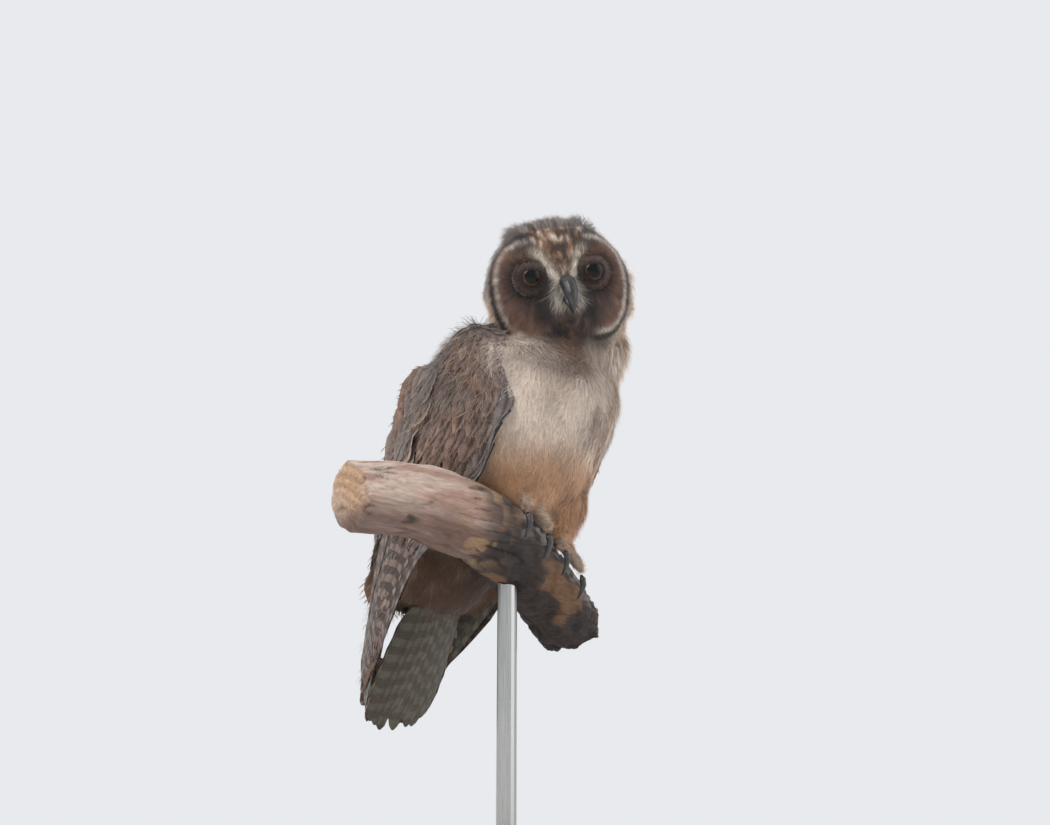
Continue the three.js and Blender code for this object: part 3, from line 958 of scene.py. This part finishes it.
def head_look(at):
    face = head_fields(at.points)
    behind = ramp(1.1, 1.25, face.rim)
    beside = ramp(16, 32, face.seen[:, 0]) * ramp(42, 14, face.height) * behind
    on_top = ramp(20, 34, face.height) * behind
    lumps = 1 + 0.3 * noise(face.seen, 5, 46)
    colours = marking(at.points + 4 * at.lie, at.belongs)
    return dict(
        length=at.depth * (1.6 + 0.9 * beside + 0.5 * on_top),
        rise=at.depth * (0.8 + 1.1 * beside + 0.55 * on_top) * lumps,
        width=0.27,
        fan=0.25,
        spread=0.5,
        uneven=0.22,
        base=colours * 0.5,
        tip=np.clip(colours * 1.15, 0, 1),
    )


def face_look(at):
    face = head_fields(at.points)
    edge = bell(face.rim - 1.02, 0.09) * face.front
    brow = bell(face.across - 3.2 - 0.55 * np.maximum(face.height - 2, 0), 3)
    colours = marking(at.points + 1.8 * at.lie, at.belongs)
    return dict(
        length=4.8 - 1.6 * edge - 2.0 * ramp(14, 8, face.from_eye),
        rise=1.1 + 2.0 * edge,
        width=0.22,
        fan=0.13,
        spread=0.3,
        uneven=(0.2 + 0.3 * brow * ramp(0, 4, face.height))[:, None],
        base=colours * 0.6,
        tip=colours * 1.05,
    )


def bristle_look(at):
    """Stiff pale bristles that sweep forwards from both sides of the bill and hide its base."""
    face = head_fields(at.points)
    count = len(at.points)
    forwards = np.stack([face.side * 0.45, np.full(count, -0.8), -0.55 + 0.06 * face.height], 1)
    shade = rng.random((count, 1))
    return dict(
        lie=unit(forwards @ HEAD_TURN.T),
        length=8.5 + 3 * bell(face.height + 3, 5),
        rise=np.full(count, 0.8),
        width=0.24,
        fan=0.22,
        spread=0.4,
        uneven=0.15,
        base=ASH * (0.35 + 0.4 * shade),
        tip=PALE * (0.5 + 0.45 * shade),
    )


def foot_look(at):
    """Short down on the toes, a little longer where it runs out over the claws."""
    colours = marking(at.points, at.belongs)
    out_along = np.linalg.norm(at.points - foot_root(at.points), axis=1)
    return dict(
        length=3.2 + 2.6 * ramp(11, 19, out_along),
        rise=np.full(len(at.points), 1.0),
        width=0.24,
        fan=0.25,
        spread=0.35,
        base=colours * 0.6,
        tip=colours * 1.05,
    )


def wing_look(at):
    """Long loose down tips over the wing feathers of a young bird."""
    upper = ramp(20, 80, at.points[:, 2] - PERCH_TOP)
    colours = paint(
        np.tile(GREY_BROWN * 0.85, (len(at.points), 1)),
        (TAN, ramp(0.0, 0.6, noise(at.points, 9, 41)) * 0.7),
        (ASH, ramp(0.1, 0.6, noise(at.points, 3, 42)) * 0.6),
    )
    return dict(
        length=6 + 4 * upper,
        rise=4.4 + 1.6 * upper,
        width=0.24,
        fan=0.35,
        spread=1.2,
        base=colours * 0.6,
        tip=colours * 1.1,
    )


def region_density():
    """Where each down piece grows, as strands to a square millimetre."""
    face = head_fields(form.points)
    part = form.belongs
    height = form.points[:, 2] - PERCH_TOP
    in_face = face.front * ramp(1.2, 1.1, face.rim)
    eye_hole = ramp(7.3, 8.0, face.from_eye)
    on_head = ramp(0.4, 0.6, part["head"])
    body = ramp(0.15, 0.35, part["neck"] + part["trunk"] + part["leg"])
    upper = ramp(62, 60, height)
    front = ramp(-0.12, -0.08, trunk_side(form.points))
    low = ramp(8, 6, height)
    by_bill = ramp(7.5, 5.5, face.across) * ramp(-11, -8, face.height)
    by_bill = by_bill * ramp(5, 2, face.height) * face.front * on_head
    return {
        "down_face": 10.5 * on_head * in_face * eye_hole,
        "down_crown": 8.5 * on_head * (1 - in_face),
        "down_breast": 11.2 * body * (1 - upper) * front,
        "down_nape": 9.0 * body * (1 - upper) * (1 - front),
        "down_belly": 11.2 * body * upper * (1 - low) * front,
        "down_back": 3.0 * body * upper * (1 - low) * (1 - front),
        "down_vent": 5.5 * body * low,
        "down_feet": 9.0 * ramp(0.4, 0.6, part["foot"]),
        "down_wings": ramp(0.5, 0.7, part["wing"]) * (0.15 + 0.9 * ramp(30, 75, height)),
        "bristles_bill": 2.2 * by_bill,
    }


density = region_density()
# A name, the strands in a tuft, the look and the map
down("down_face", 3, face_look, unwrap_sphere)
down("bristles_bill", 2, bristle_look, unwrap_sphere)
down("down_crown", 5, head_look, unwrap_sphere)
down("down_breast", 6, body_look(1.8), unwrap_body)
down("down_nape", 6, body_look(1.6), unwrap_body)
down("down_belly", 6, body_look(1.8), unwrap_body)
down("down_back", 5, body_look(1.2, 0.3), unwrap_body)
down("down_vent", 6, body_look(1.8), unwrap_body)
down("down_feet", 4, foot_look, unwrap_body)
down("down_wings", 3, wing_look, unwrap_body)

# Feathers laid in rows over the wings, the back and the tail


class Sheet:
    """A patch of the surface, by share of its length and by place across it. A place of -1 or 1
    is the station's own half width from the spine, and reach says how far the patch goes. The
    patch lies on the surface where that is within a trusted distance of the stations' own bulge,
    one distance for each side of the spine."""

    ROWS, COLUMNS = 90, 25
    RAYS_FROM, RAYS_REACH = 60, 100  # they start this far outside the spine
    SMOOTHINGS = 7

    def __init__(self, stations, sideways, outwards, tree, reach=(-1, 1), trust=(14, 14)):
        self.reach = reach
        rows = spline(stations, np.linspace(0, 1, 400))
        run = np.concatenate([[0], np.cumsum(np.linalg.norm(np.diff(rows[:, :3], axis=0), axis=1))])
        self.length = run[-1]
        at = np.linspace(0, run[-1], self.ROWS)
        rows = np.stack([np.interp(at, run, rows[:, k]) for k in range(5)], 1)
        spine = rows[:, :3] + above(0, 0, 0)
        self.half = rows[:, 3]
        ahead = unit(np.gradient(spine, axis=0))
        side = flatten(sideways(np.linspace(0, 1, self.ROWS)[:, None]), ahead)
        out = unit(np.cross(ahead, side))
        out = out * np.sign((out * outwards).sum(1, keepdims=True))
        across = np.linspace(*reach, self.COLUMNS)
        grid = spine[:, None] + side[:, None] * (self.half[:, None] * across)[..., None]
        for i, j in itertools.product(range(self.ROWS), range(self.COLUMNS)):
            inside = 0.96 * (grid[i, j] - spine[i]) + spine[i]
            guess = inside + out[i] * (rows[i, 4] * math.sqrt(max(0.1, 1 - 0.9 * across[j] ** 2)))
            start = Vector(inside + self.RAYS_FROM * out[i])
            hit = tree.ray_cast(start, Vector(-out[i]), self.RAYS_REACH)[0]
            trusted = trust[0] if across[j] < 0 else trust[1]
            on_form = hit and abs(np.dot(np.array(hit) - guess, out[i])) < trusted
            grid[i, j] = hit if on_form else guess
        for _ in range(self.SMOOTHINGS):
            grid[1:-1] = (grid[:-2] + 2 * grid[1:-1] + grid[2:]) / 4
            grid[:, 1:-1] = (grid[:, :-2] + 2 * grid[:, 1:-1] + grid[:, 2:]) / 4
        normal = unit(np.cross(np.gradient(grid, axis=0), np.gradient(grid, axis=1)))
        facing = np.sign((normal * out[:, None]).sum(2, keepdims=True).mean())
        self.grid, self.normal = grid, normal * facing

    def half_at(self, share):
        return np.interp(share, np.linspace(0, 1, self.ROWS), self.half)

    def at(self, share, place):
        """Points and normals. Past its edges the patch carries on straight."""
        low, high = self.reach
        inside, within = np.clip(share, 0, 1), np.clip(place, low, high)
        forwards = inside * (self.ROWS - 1)
        sideways = (within - low) / (high - low) * (self.COLUMNS - 1)
        i = np.minimum(forwards.astype(int), self.ROWS - 2)
        j = np.minimum(sideways.astype(int), self.COLUMNS - 2)
        u, v = (forwards - i)[..., None], (sideways - j)[..., None]

        def bilinear(values):
            near = values[i, j] * (1 - u) + values[i + 1, j] * u
            far = values[i, j + 1] * (1 - u) + values[i + 1, j + 1] * u
            return near * (1 - v) + far * v

        forth = (self.grid[i + 1, j] - self.grid[i, j]) * (self.ROWS - 1)
        over = (self.grid[i, j + 1] - self.grid[i, j]) * (self.COLUMNS - 1) / (high - low)
        points = bilinear(self.grid) + forth * (share - inside)[..., None]
        points = points + over * (place - within)[..., None]
        return points, unit(bilinear(self.normal))


def body_profile(s):
    return np.sin(math.pi * np.clip(s, 0.04, 0.965) ** 0.8) ** 0.6


def flight_profile(s):
    return np.minimum(1, (s + 0.05) / 0.25) ** 0.5 * np.sqrt(np.clip(1.01 - s**7, 0, 1))


def row(share, count, length, width, tone, start=-0.95, end=0.95, **more):
    """A row of feathers that begins at a share of the sheet, from one place across it to another."""
    plain = dict(other=tone, front=tone, slant=0, splay=0, root=-1.6, tip=-0.2, bars=0, streak=0, edge=0)
    sizes = dict(share=share, count=count, length=length, width=width, tone=tone, start=start, end=end)
    return {**plain, **sizes, **more}


def feather_rows(rows):
    """Turns rows of feathers into one list of arrays, each feather a little unlike the next."""
    single = ("root", "tip", "bars", "streak", "edge")
    lists = {key: [] for key in ("share", "place", "length", "width", "splay", "tone", *single)}
    for line in rows:
        count = line["count"]
        places = np.linspace(line["start"], line["end"], count) + rng.normal(0, 0.012, count)
        share = line["share"] + line["slant"] * places
        lists["place"].append(places)
        lists["share"].append(share + rng.normal(0, 0.006, count))
        for key in ("length", "width"):
            lists[key].append(line[key] * (1 + rng.normal(0, 0.06, count)))
        lists["splay"].append(line["splay"] + rng.normal(0, 0.015, count))
        for key in single:
            lists[key].append(np.full(count, float(line[key])))
        mix = rng.random((count, 1))
        tone = line["tone"] * (1 - mix) + line["other"] * mix
        if line["front"] is not line["tone"]:
            tone = paint(tone, (line["front"], ramp(0.75, 1.15, places)))
        lists["tone"].append(tone * (1 + rng.normal(0, 0.12, (count, 1))))
    return {key: np.concatenate(value) for key, value in lists.items()}


MAP_REACH = 1.4  # the map shows places as far as this to each side of a patch's spine
CELL_MARGIN = 0.04  # of the side of a vane's own cell on the map


def place_on_map(plan):
    """Where feathers lie on the map, by their share along the patch and place across it."""
    return on_map(np.clip(plan["share"], 0, 1), (plan["place"] + MAP_REACH) / (2 * MAP_REACH))


SHAFT_AT = 0.35  # the shaft lies this share of the way out towards the leading edge
COLUMNS = 7  # points across a vane


def vanes(name, sheet, rows, profile, steps=9, own_cells=False):
    """Feathers as cupped vanes that lie on a patch, with their barbs frayed at the edges."""
    plan = feather_rows(rows)
    count = len(plan["share"])
    # s runs from root to tip, with closer steps at the tip, and a from edge to edge.
    s = 1 - (1 - np.linspace(0, 1, steps)) ** 1.4
    a = np.linspace(-1, 1, COLUMNS)
    along = plan["length"][:, None] * s
    share = plan["share"][:, None] + along / sheet.length
    half_width = plan["width"][:, None] / 2 * profile(s)
    ragged = 1 + rng.normal(0, 0.04, (count, steps, COLUMNS)) * np.abs(a)
    offset = half_width[..., None] * a * ragged
    room = np.maximum(sheet.half_at(np.clip(share, 0, 1)), 6)[..., None]
    place = (plan["place"][:, None] + plan["splay"][:, None] * s)[..., None] + offset / room
    points, normals = sheet.at(share[..., None] - 0.10 * np.abs(offset) / sheet.length, place)
    lift = plan["root"][:, None] + (plan["tip"] - plan["root"])[:, None] * s
    lift = lift[..., None] + 0.28 * (1 - a**2) + 0.22 * a  # cupped, and one edge over the next
    lift = lift + rng.normal(0, 0.12, (count, 1, 1))
    points = points + normals * lift[..., None]
    cells = np.arange(steps * COLUMNS).reshape(steps, COLUMNS)
    corner = np.stack([cells[:-1, :-1], cells[:-1, 1:], cells[1:, 1:], cells[1:, :-1]], -1).reshape(-1, 4)
    faces = (np.arange(count)[:, None, None] * steps * COLUMNS + corner[None]).reshape(-1, 4)
    local = np.stack(np.broadcast_arrays(s[:, None], (a + 1) / 2), -1)
    if own_cells:
        side = math.ceil(math.sqrt(count))
        index = np.arange(count)
        origin = np.stack([index % side, index // side], 1) / side
        patches = origin[:, None, None] + (CELL_MARGIN + local * (1 - 2 * CELL_MARGIN)) / side
    else:
        patches = place_on_map(plan)[:, None, None] + (local - 0.5) * PATCH

    def everywhere(values):
        return np.broadcast_to(values, (count, steps, COLUMNS)).ravel()

    attributes = {
        "along": everywhere(along[..., None]),
        "across": everywhere((a - SHAFT_AT) / (1 - SHAFT_AT * np.sign(a - SHAFT_AT))),
        "share": everywhere(s[:, None]),
        "seed": everywhere(rng.random((count, 1, 1))),
        "marking": np.repeat(plan["tone"], steps * COLUMNS, axis=0),
    }
    for key in ("bars", "streak", "edge"):
        attributes[key] = everywhere(plan[key][:, None, None])
    mesh_piece(name, points.reshape(-1, 3), [faces], "vane", attributes, patches.reshape(-1, 2))
    return points, normals, plan


def fringe(name, laid, per_feather, length):
    """Loose barbs along the edges and tips of laid feathers."""
    points, normals, plan = laid
    count, steps = points.shape[:2]
    chosen = np.repeat(np.arange(count), per_feather)
    many = len(chosen)
    step = rng.integers(steps // 3, steps, many)
    column = np.where(rng.random(many) < 0.5, COLUMNS - 1, 0)
    at_tip = step == steps - 1
    column = np.where(at_tip, rng.integers(0, COLUMNS, many), column)
    root = points[chosen, step, column]
    inner = points[chosen, step, COLUMNS // 2]
    ahead = unit(inner - points[chosen, step - 1, COLUMNS // 2])
    normal = normals[chosen, step, column]
    outwards = np.where(at_tip[:, None], 0, unit(root - inner) * 0.55)
    lie = flatten(ahead + outwards, normal)
    pale = paint(plan["tone"][chosen], (BUFF * 0.8, plan["edge"][chosen]))
    long = length * rng.uniform(0.5, 1.3, many)
    rise = long * rng.uniform(0.05, 0.25, many)
    place = place_on_map(plan)[chosen]
    grown = strands(root - lie * 0.8, normal, lie, long, rise, 0.26, pale * 0.8, pale, place)
    strand_piece(name, grown)


# Each station is a place from the top of the branch, a half width and a bulge.
WING_STATIONS = [
    (37, -5, 102, 7, 6),
    (44, -2, 91, 15, 8),
    (51, 8, 66, 31, 8),
    (51, 23, 39, 36, 8),
    (46, 44, 12, 32, 7),
    (39, 63, -12, 24, 6),
    (31, 80, -38, 17, 4.5),
    (23, 96, -64, 11, 3),
    (16, 108, -88, 6, 2),
]
WING_TUCK = {"right": -1.0, "left": 0.93}
WING_REACH = (-1.1, 1.45)  # the outer sheet runs past the wing, over the flank
FREE_FROM = 5  # the wing stands free of the body from this station on


def wing_sheet(side, outer):
    out = WING_TUCK[side]
    stations = np.array(WING_STATIONS, float) * (out, 1, 1, 1, 1)

    def sideways(along):
        return np.array([[out * 0.05, -0.84, -0.54]]) + np.array([[out * 0.35, 0, 0]]) * along**2

    outwards = np.array([[math.copysign(1, out), 0.25, 0]])
    if outer:
        return Sheet(stations, sideways, outwards, form_tree, WING_REACH, (14, 26))
    return Sheet(stations[FREE_FROM:], sideways, -outwards, tree_of(*node_arrays("wing_" + side)))


def covert_rows(front):
    """The coverts from the shoulder down, each row tucked under the one before. front says how far
    forwards over the flank they reach."""
    lesser = dict(end=1.05 * front, other=MAUVE_BROWN, streak=0.8, edge=0.25, root=-1.2, tip=0.9)
    median = dict(end=1.16 * front, other=RUFOUS, front=SLATE, bars=0.35, edge=0.12, root=-1.3, tip=0.8)
    greater = dict(end=1.22 * front, other=MAUVE_BROWN, front=SLATE, bars=0.7, slant=0.01, root=-1.5, tip=0.5)
    return [
        *(row(-0.02 + 0.03 * i, 9, 15, 9, VIOLET_GREY * 0.9, **lesser) for i in range(5)),
        *(row(0.12 + 0.045 * i, 11 + i, 27, 10.5, MAUVE_BROWN, streak=0.9, **median) for i in range(4)),
        *(row(0.29 + 0.06 * i, 13, 44, 11, RUFOUS, -0.9, streak=1.0, **greater) for i in range(2)),
    ]


def scapular_rows():
    """Long soft feathers from the shoulder, over the wing's upper edge."""
    look = dict(other=VIOLET_GREY * 0.8, streak=0.8, bars=0.15, edge=0.25, root=-0.8, tip=1.5, splay=0.1)
    return [row(0.02 + 0.062 * i, 6, 38, 12, GREY_BROWN * 0.85, -0.9, -0.38, **look) for i in range(6)]


def flight_rows():
    """Tertials over secondaries over primaries, whose tips reach the end of the folded wing."""
    look = dict(other=DASH * 0.6, bars=1.0, streak=0.6)
    return [
        row(0.34, 5, 60, 11, GREY_BROWN * 0.8, -0.8, -0.45, bars=0.6, streak=0.5, root=-0.9, tip=0.3),
        row(0.38, 11, 84, 11, DASH, -0.7, 0.75, root=-1.9, tip=-0.6, splay=-0.05, **look),
        row(0.40, 7, 112, 8, DASH, 0.45, 1.0, root=-2.0, tip=-0.9, splay=-0.16, **look),
        row(0.60, 9, 86, 6, DASH, -0.6, 0.85, root=-1.6, tip=-0.5, **look),
    ]


def under_rows():
    """The undersides of the folded flight feathers."""
    look = dict(bars=0.5, root=-1.2, tip=-0.4)
    return [
        row(-0.04, 9, 84, 9, GREY_GREEN * 0.7, -0.7, 0.75, **look),
        row(0.28, 6, 68, 7.5, GREY_GREEN * 0.7, -0.6, 0.8, **look),
    ]


def mantle_rows():
    look = dict(other=TAN * 0.6, streak=0.85, bars=0.15, edge=0.25, root=-2.2, tip=1.0)
    rows = []
    for i in range(19):
        shift = 0.07 * (i % 2)
        rows.append(row(0.047 * i, 17, 25, 12, GREY_BROWN * 0.7, -1.4 + shift, 1.33 + shift, **look))
    return rows


def flight_vanes(name, sheet, rows, steps):
    vanes(name, sheet, rows, flight_profile, steps, own_cells=True)


def soft_vanes(name, barbs_name, sheet, rows, per_feather, length):
    """Body feathers with their loose barbs."""
    fringe(barbs_name, vanes(name, sheet, rows, body_profile), per_feather, length)


for side, front in (("right", 1.0), ("left", 0.75)):
    outer = wing_sheet(side, outer=True)
    inner = wing_sheet(side, outer=False)
    flight_vanes("flight_feathers_" + side, outer, flight_rows(), 16)
    flight_vanes("flight_undersides_" + side, inner, under_rows(), 14)
    soft_vanes("coverts_" + side, "covert_barbs_" + side, outer, covert_rows(front), 40, 3.0)
    soft_vanes("scapulars_" + side, "scapular_barbs_" + side, outer, scapular_rows(), 70, 5.0)

TAIL_STATIONS = [(0, 66, -34, 20, 8), (0, 77, -55, 22, 6), (0, 89, -77, 24, 3.5), (0, 101, -98, 23, 2)]
BACK_STATIONS = [
    (7, -2, 100, 26, 30),
    (2, 3, 68, 40, 34),
    (0, 20, 37, 42, 36),
    (0, 44, 11, 36, 30),
    (0, 62, -17, 27, 24),
    (0, 76, -45, 21, 16),
]
BACK_REACH = (-1.45, 1.45)  # the mantle runs out over the roots of the wings
UP_AND_BACK = np.array([[0, 1, 0.5]])


def across_body(along):
    return np.array([[1.0, 0, 0]]) + 0 * along


def tail_row(tone, **more):
    return [row(0.08, 9, 66, 13, tone, -0.8, 0.8, root=-1.0, tip=-0.4, **more)]


tail_tree = tree_of(*node_arrays("tail"))
tail_top = Sheet(TAIL_STATIONS, across_body, UP_AND_BACK, tail_tree)
tail_under = Sheet(TAIL_STATIONS, across_body, -UP_AND_BACK, tail_tree)
back = Sheet(BACK_STATIONS, across_body, UP_AND_BACK, form_tree, BACK_REACH, trust=(34, 34))
flight_vanes("tail_feathers", tail_top, tail_row(GREY_BROWN, bars=0.9), 14)
flight_vanes("tail_undersides", tail_under, tail_row(GREY_GREEN * 0.6, bars=0.5, streak=0.4), 14)
soft_vanes("mantle", "mantle_barbs", back, mantle_rows(), 60, 5.0)

# Eyes, lids, bill and claws

EYE_RINGS, EYE_COLUMNS = 40, 64


def make_eye(side):
    """An eyeball with its cornea, turned the way that the face looks."""
    lower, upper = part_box("eye_" + side)
    polar = np.linspace(0, math.pi, EYE_RINGS + 1)[1:-1]
    turn = np.linspace(0, FULL_TURN, EYE_COLUMNS, endpoint=False)
    polar, turn = (grid.ravel() for grid in np.meshgrid(polar, turn, indexing="ij"))
    polar = np.concatenate([[0], polar, [math.pi]])
    turn = np.concatenate([[0], turn, [0]])
    cornea = 0.045 * ramp(0.75, 0.35, polar)
    radius = (EYE_RADIUS - 0.15) * (1 + cornea)
    points = radius[:, None] * on_globe(polar, turn) @ HEAD_TURN.T + np.array((lower + upper) / 2) / MM
    ring = 1 + np.arange(EYE_COLUMNS)
    after = 1 + ring % EYE_COLUMNS
    last = (EYE_RINGS - 2) * EYE_COLUMNS
    front = np.stack([0 * ring, ring, after], 1)
    rear = np.stack([0 * ring + len(points) - 1, last + after, last + ring], 1)
    quads = 1 + ring_quads(EYE_RINGS - 1, EYE_COLUMNS)[:, [0, 3, 2, 1]]
    off_axis = np.where(polar < math.pi / 2, np.sin(polar), 2 - np.sin(polar))
    fields = {"off_axis": off_axis, "round_axis": turn}
    piece = mesh_piece("eyeball_" + side, points, [np.vstack([front, rear]), quads], "eye", fields)
    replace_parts(piece, "eye_" + side)


def lid_bristles(side, per_side=800):
    """Short dark bristles that grow on the lids, away from the eye, browner at their tips; the tips are
    painted darker on the bird's right, as shade on that side.
    """
    points, normals = lid_shell(side)
    rows = rng.integers(3, len(LID_POLAR) - 4, per_side)
    picked = rows * LID_COLUMNS + rng.integers(0, LID_COLUMNS, per_side)
    normal = unit(normals[picked])
    root = points[picked] + rng.normal(0, 0.25, (per_side, 3)) - normal * 0.2
    lie = flatten(points[picked + LID_COLUMNS] - points[picked], normal)
    shade = rng.uniform(0.6, 1.5, (per_side, 1))
    tint = BLACK_BROWN * 0.7 * shade
    # Painted shade: the tips are darker on the bird's right (side -1) than on the left.
    tip_tint = PINK_BROWN * (0.4 + 0.06 * side) * shade
    length = rng.uniform(2.8, 5.4, per_side)
    return strands(root, normal, lie, length, 1.2, 0.2, tint, tip_tint, unwrap_sphere(root))


for label, side in (("right", -1), ("left", 1)):
    make_eye(label)
    strand_piece("bristles_lid_" + label, lid_bristles(side))


def horn_piece(node_name, voxel, rounds):
    """A finer, rounder copy of the bill or a claw."""
    points, triangles = remeshed(*node_arrays(node_name), voxel)
    edges = edges_of(triangles)
    # Each round evens it, then swells it back, so that it keeps its size.
    for _ in range(rounds):
        points = evened(points, edges, rounds=1, strength=0.5)
        points = evened(points, edges, rounds=1, strength=-0.5)
    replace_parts(mesh_piece("horn_" + node_name, points, [triangles], "horn"), node_name)


for half in ("upper", "lower"):
    horn_piece("bill_" + half, voxel=0.4, rounds=12)
for side, number in itertools.product(("right", "left"), range(1, 5)):
    horn_piece(f"claw_{side}_{number}", voxel=0.3, rounds=40)

# Perch

# The middle line of the branch: places along it, and its height from the top between the feet
PERCH_X = (-128, -62, -14, 60)
PERCH_Z = (-12, -5, -17, -52)


def perch_height(points):
    """Height above the middle line of the branch."""
    return points[:, 2] - PERCH_TOP - np.interp(points[:, 0], PERCH_X, PERCH_Z)


def long_noise(points, size, seed, stretch=0.13):
    """Noise drawn out along the branch."""
    return noise(points * (stretch, 1, 1), size, seed)


def fissures(points):
    """Long cracks along the branch, each fading at its ends."""
    return bell(long_noise(points, 4.5, 23), 0.09) * ramp(-0.1, 0.3, long_noise(points, 9, 27, 0.5))


def perch_marking(points, cut):
    """Pale weathered wood to the bird's right, a broken knot, then black rotten wood with ochre patches
    and whitish cracked bark under the feet. cut is 1 on the sawn ends."""
    x = points[:, 0]
    up = perch_height(points)
    broad = long_noise(points, 13, 20, 0.5)
    rotten = ramp(-52, -34, x + 9 * broad)
    knot = bell(x + 48, 12) * ramp(-0.15, 0.25, noise(points, 6, 24))
    ochre = ramp(0.35, 0.6, long_noise(points, 10, 25, 0.6)) * rotten
    bark = ramp(-2, 8, up + 8 * noise(points, 9, 22)) * ramp(-38, -20, x)
    chips = ramp(-0.35, 0.45, long_noise(points, 2.6, 26, 0.3))
    rings = 0.5 + 0.5 * np.sin(np.hypot(up + 16, points[:, 1] - 10 - FEET_BACK) * 1.3 + 1.5 * broad)
    return paint(
        np.tile(rgb(188, 166, 152), (len(points), 1)),
        (rgb(150, 112, 96), ramp(-0.2, 0.4, long_noise(points, 5, 21)) * 0.7),
        (rgb(84, 62, 56), ramp(2, -14, up + 5 * broad) * 0.8),
        (rgb(42, 36, 35), rotten * 0.95),
        (rgb(150, 122, 92), knot * 0.9),
        (rgb(118, 86, 60), ochre * 0.8),
        (rgb(142, 134, 130), bark * chips * 0.75),
        (rgb(34, 29, 28), fissures(points) * 0.8),
        (rgb(176, 142, 112) * (0.75 + 0.35 * rings[:, None]), cut),
    )


def make_perch():
    points, triangles = remeshed(*node_arrays("perch_branch"), voxel=1.0)
    points = evened(points, edges_of(triangles), rounds=3)
    normals = normals_of(points, triangles)
    at_end = np.maximum(ramp(-119, -124, points[:, 0]), ramp(50, 54, points[:, 0]))
    cut = ramp(0.6, 0.8, np.abs(normals[:, 0])) * at_end
    rotten = ramp(-52, -34, points[:, 0])
    relief = 0.5 * long_noise(points, 2.2, 31) - 1.4 * fissures(points) - 0.3
    relief = relief - rotten * 2.0 * ramp(0.0, 0.5, noise(points, 8, 32))
    relief = relief - rotten * 0.8 * np.abs(noise(points, 2.6, 33))
    points = points + normals * (relief * (1 - 0.9 * cut))[:, None]
    colours = {"marking": perch_marking(points, cut)}
    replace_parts(mesh_piece("perch_bark", points, [triangles], "bark", colours), "perch_branch")


make_perch()

# Stand

for name, finish in (("stand_base", "base"), ("stand_collar", "steel"), ("stand_rod", "steel")):
    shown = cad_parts[name].data
    shown.materials.clear()
    shown.materials.append(MATERIALS[finish])
    shown.shade_smooth()
    shown.set_sharp_from_angle(angle=math.radians(50))

# Floor, light and camera

# Metres
FLOOR_REACH = 6.0
LIT_AT = (0, 0, 0.24)
CAMERA_AT = (-0.478376, -0.453305, 0.019497)
CAMERA_AZIMUTH = 48  # degrees
CAMERA_RISE = 19


def placed(name, data):
    made = bpy.data.objects.new(name, data)
    bpy.context.scene.collection.objects.link(made)
    return made


def make_floor():
    made = Finish("floor", Roughness=0.8)
    mesh = bpy.data.meshes.new("floor")
    corners = [(x * FLOOR_REACH, y * FLOOR_REACH, 0) for x, y in ((-1, -1), (1, -1), (1, 1), (-1, 1))]
    mesh.from_pydata(corners, [], [(0, 1, 2, 3)])
    mottle = made.blended(made.noise(40, 3), (0.80, 0.80, 0.79), (0.86, 0.86, 0.85))
    mesh.materials.append(made.coloured(mottle))
    placed("floor", mesh)


def make_lamp(name, place, size, watts):
    data = bpy.data.lights.new(name, "AREA")
    data.shape = "DISK"
    data.size = size
    data.energy = watts
    lamp = placed(name, data)
    lamp.location = place
    lamp.rotation_euler = (Vector(LIT_AT) - Vector(place)).to_track_quat("-Z", "Y").to_euler()


def make_world():
    world = bpy.data.worlds.new("studio")
    world.use_nodes = True
    background = world.node_tree.nodes["Background"]
    background.inputs["Color"].default_value = (0.95, 0.97, 1.0, 1)
    background.inputs["Strength"].default_value = 0.85
    bpy.context.scene.world = world


def make_camera():
    """The photograph's view: from the bird's right front, looking up."""
    azimuth, rise = math.radians(CAMERA_AZIMUTH), math.radians(CAMERA_RISE)
    data = bpy.data.cameras.new("camera")
    data.lens = 42.695
    data.sensor_width = 36
    data.clip_start = 0.01
    camera = placed("camera", data)
    camera.location = CAMERA_AT
    level = math.cos(rise)
    forward = Vector((level * math.sin(azimuth), level * math.cos(azimuth), math.sin(rise)))
    camera.rotation_euler = forward.to_track_quat("-Z", "Y").to_euler()
    bpy.context.scene.camera = camera


make_floor()
make_lamp("key", (-1.1, -0.1, 1.1), 0.8, 11)
make_lamp("fill", (0.4, -1.2, 0.6), 1.2, 4)
make_lamp("back", (0.5, 1.0, 1.1), 0.9, 20)
make_world()
make_camera()
bpy.context.scene.view_settings.view_transform = "Standard"
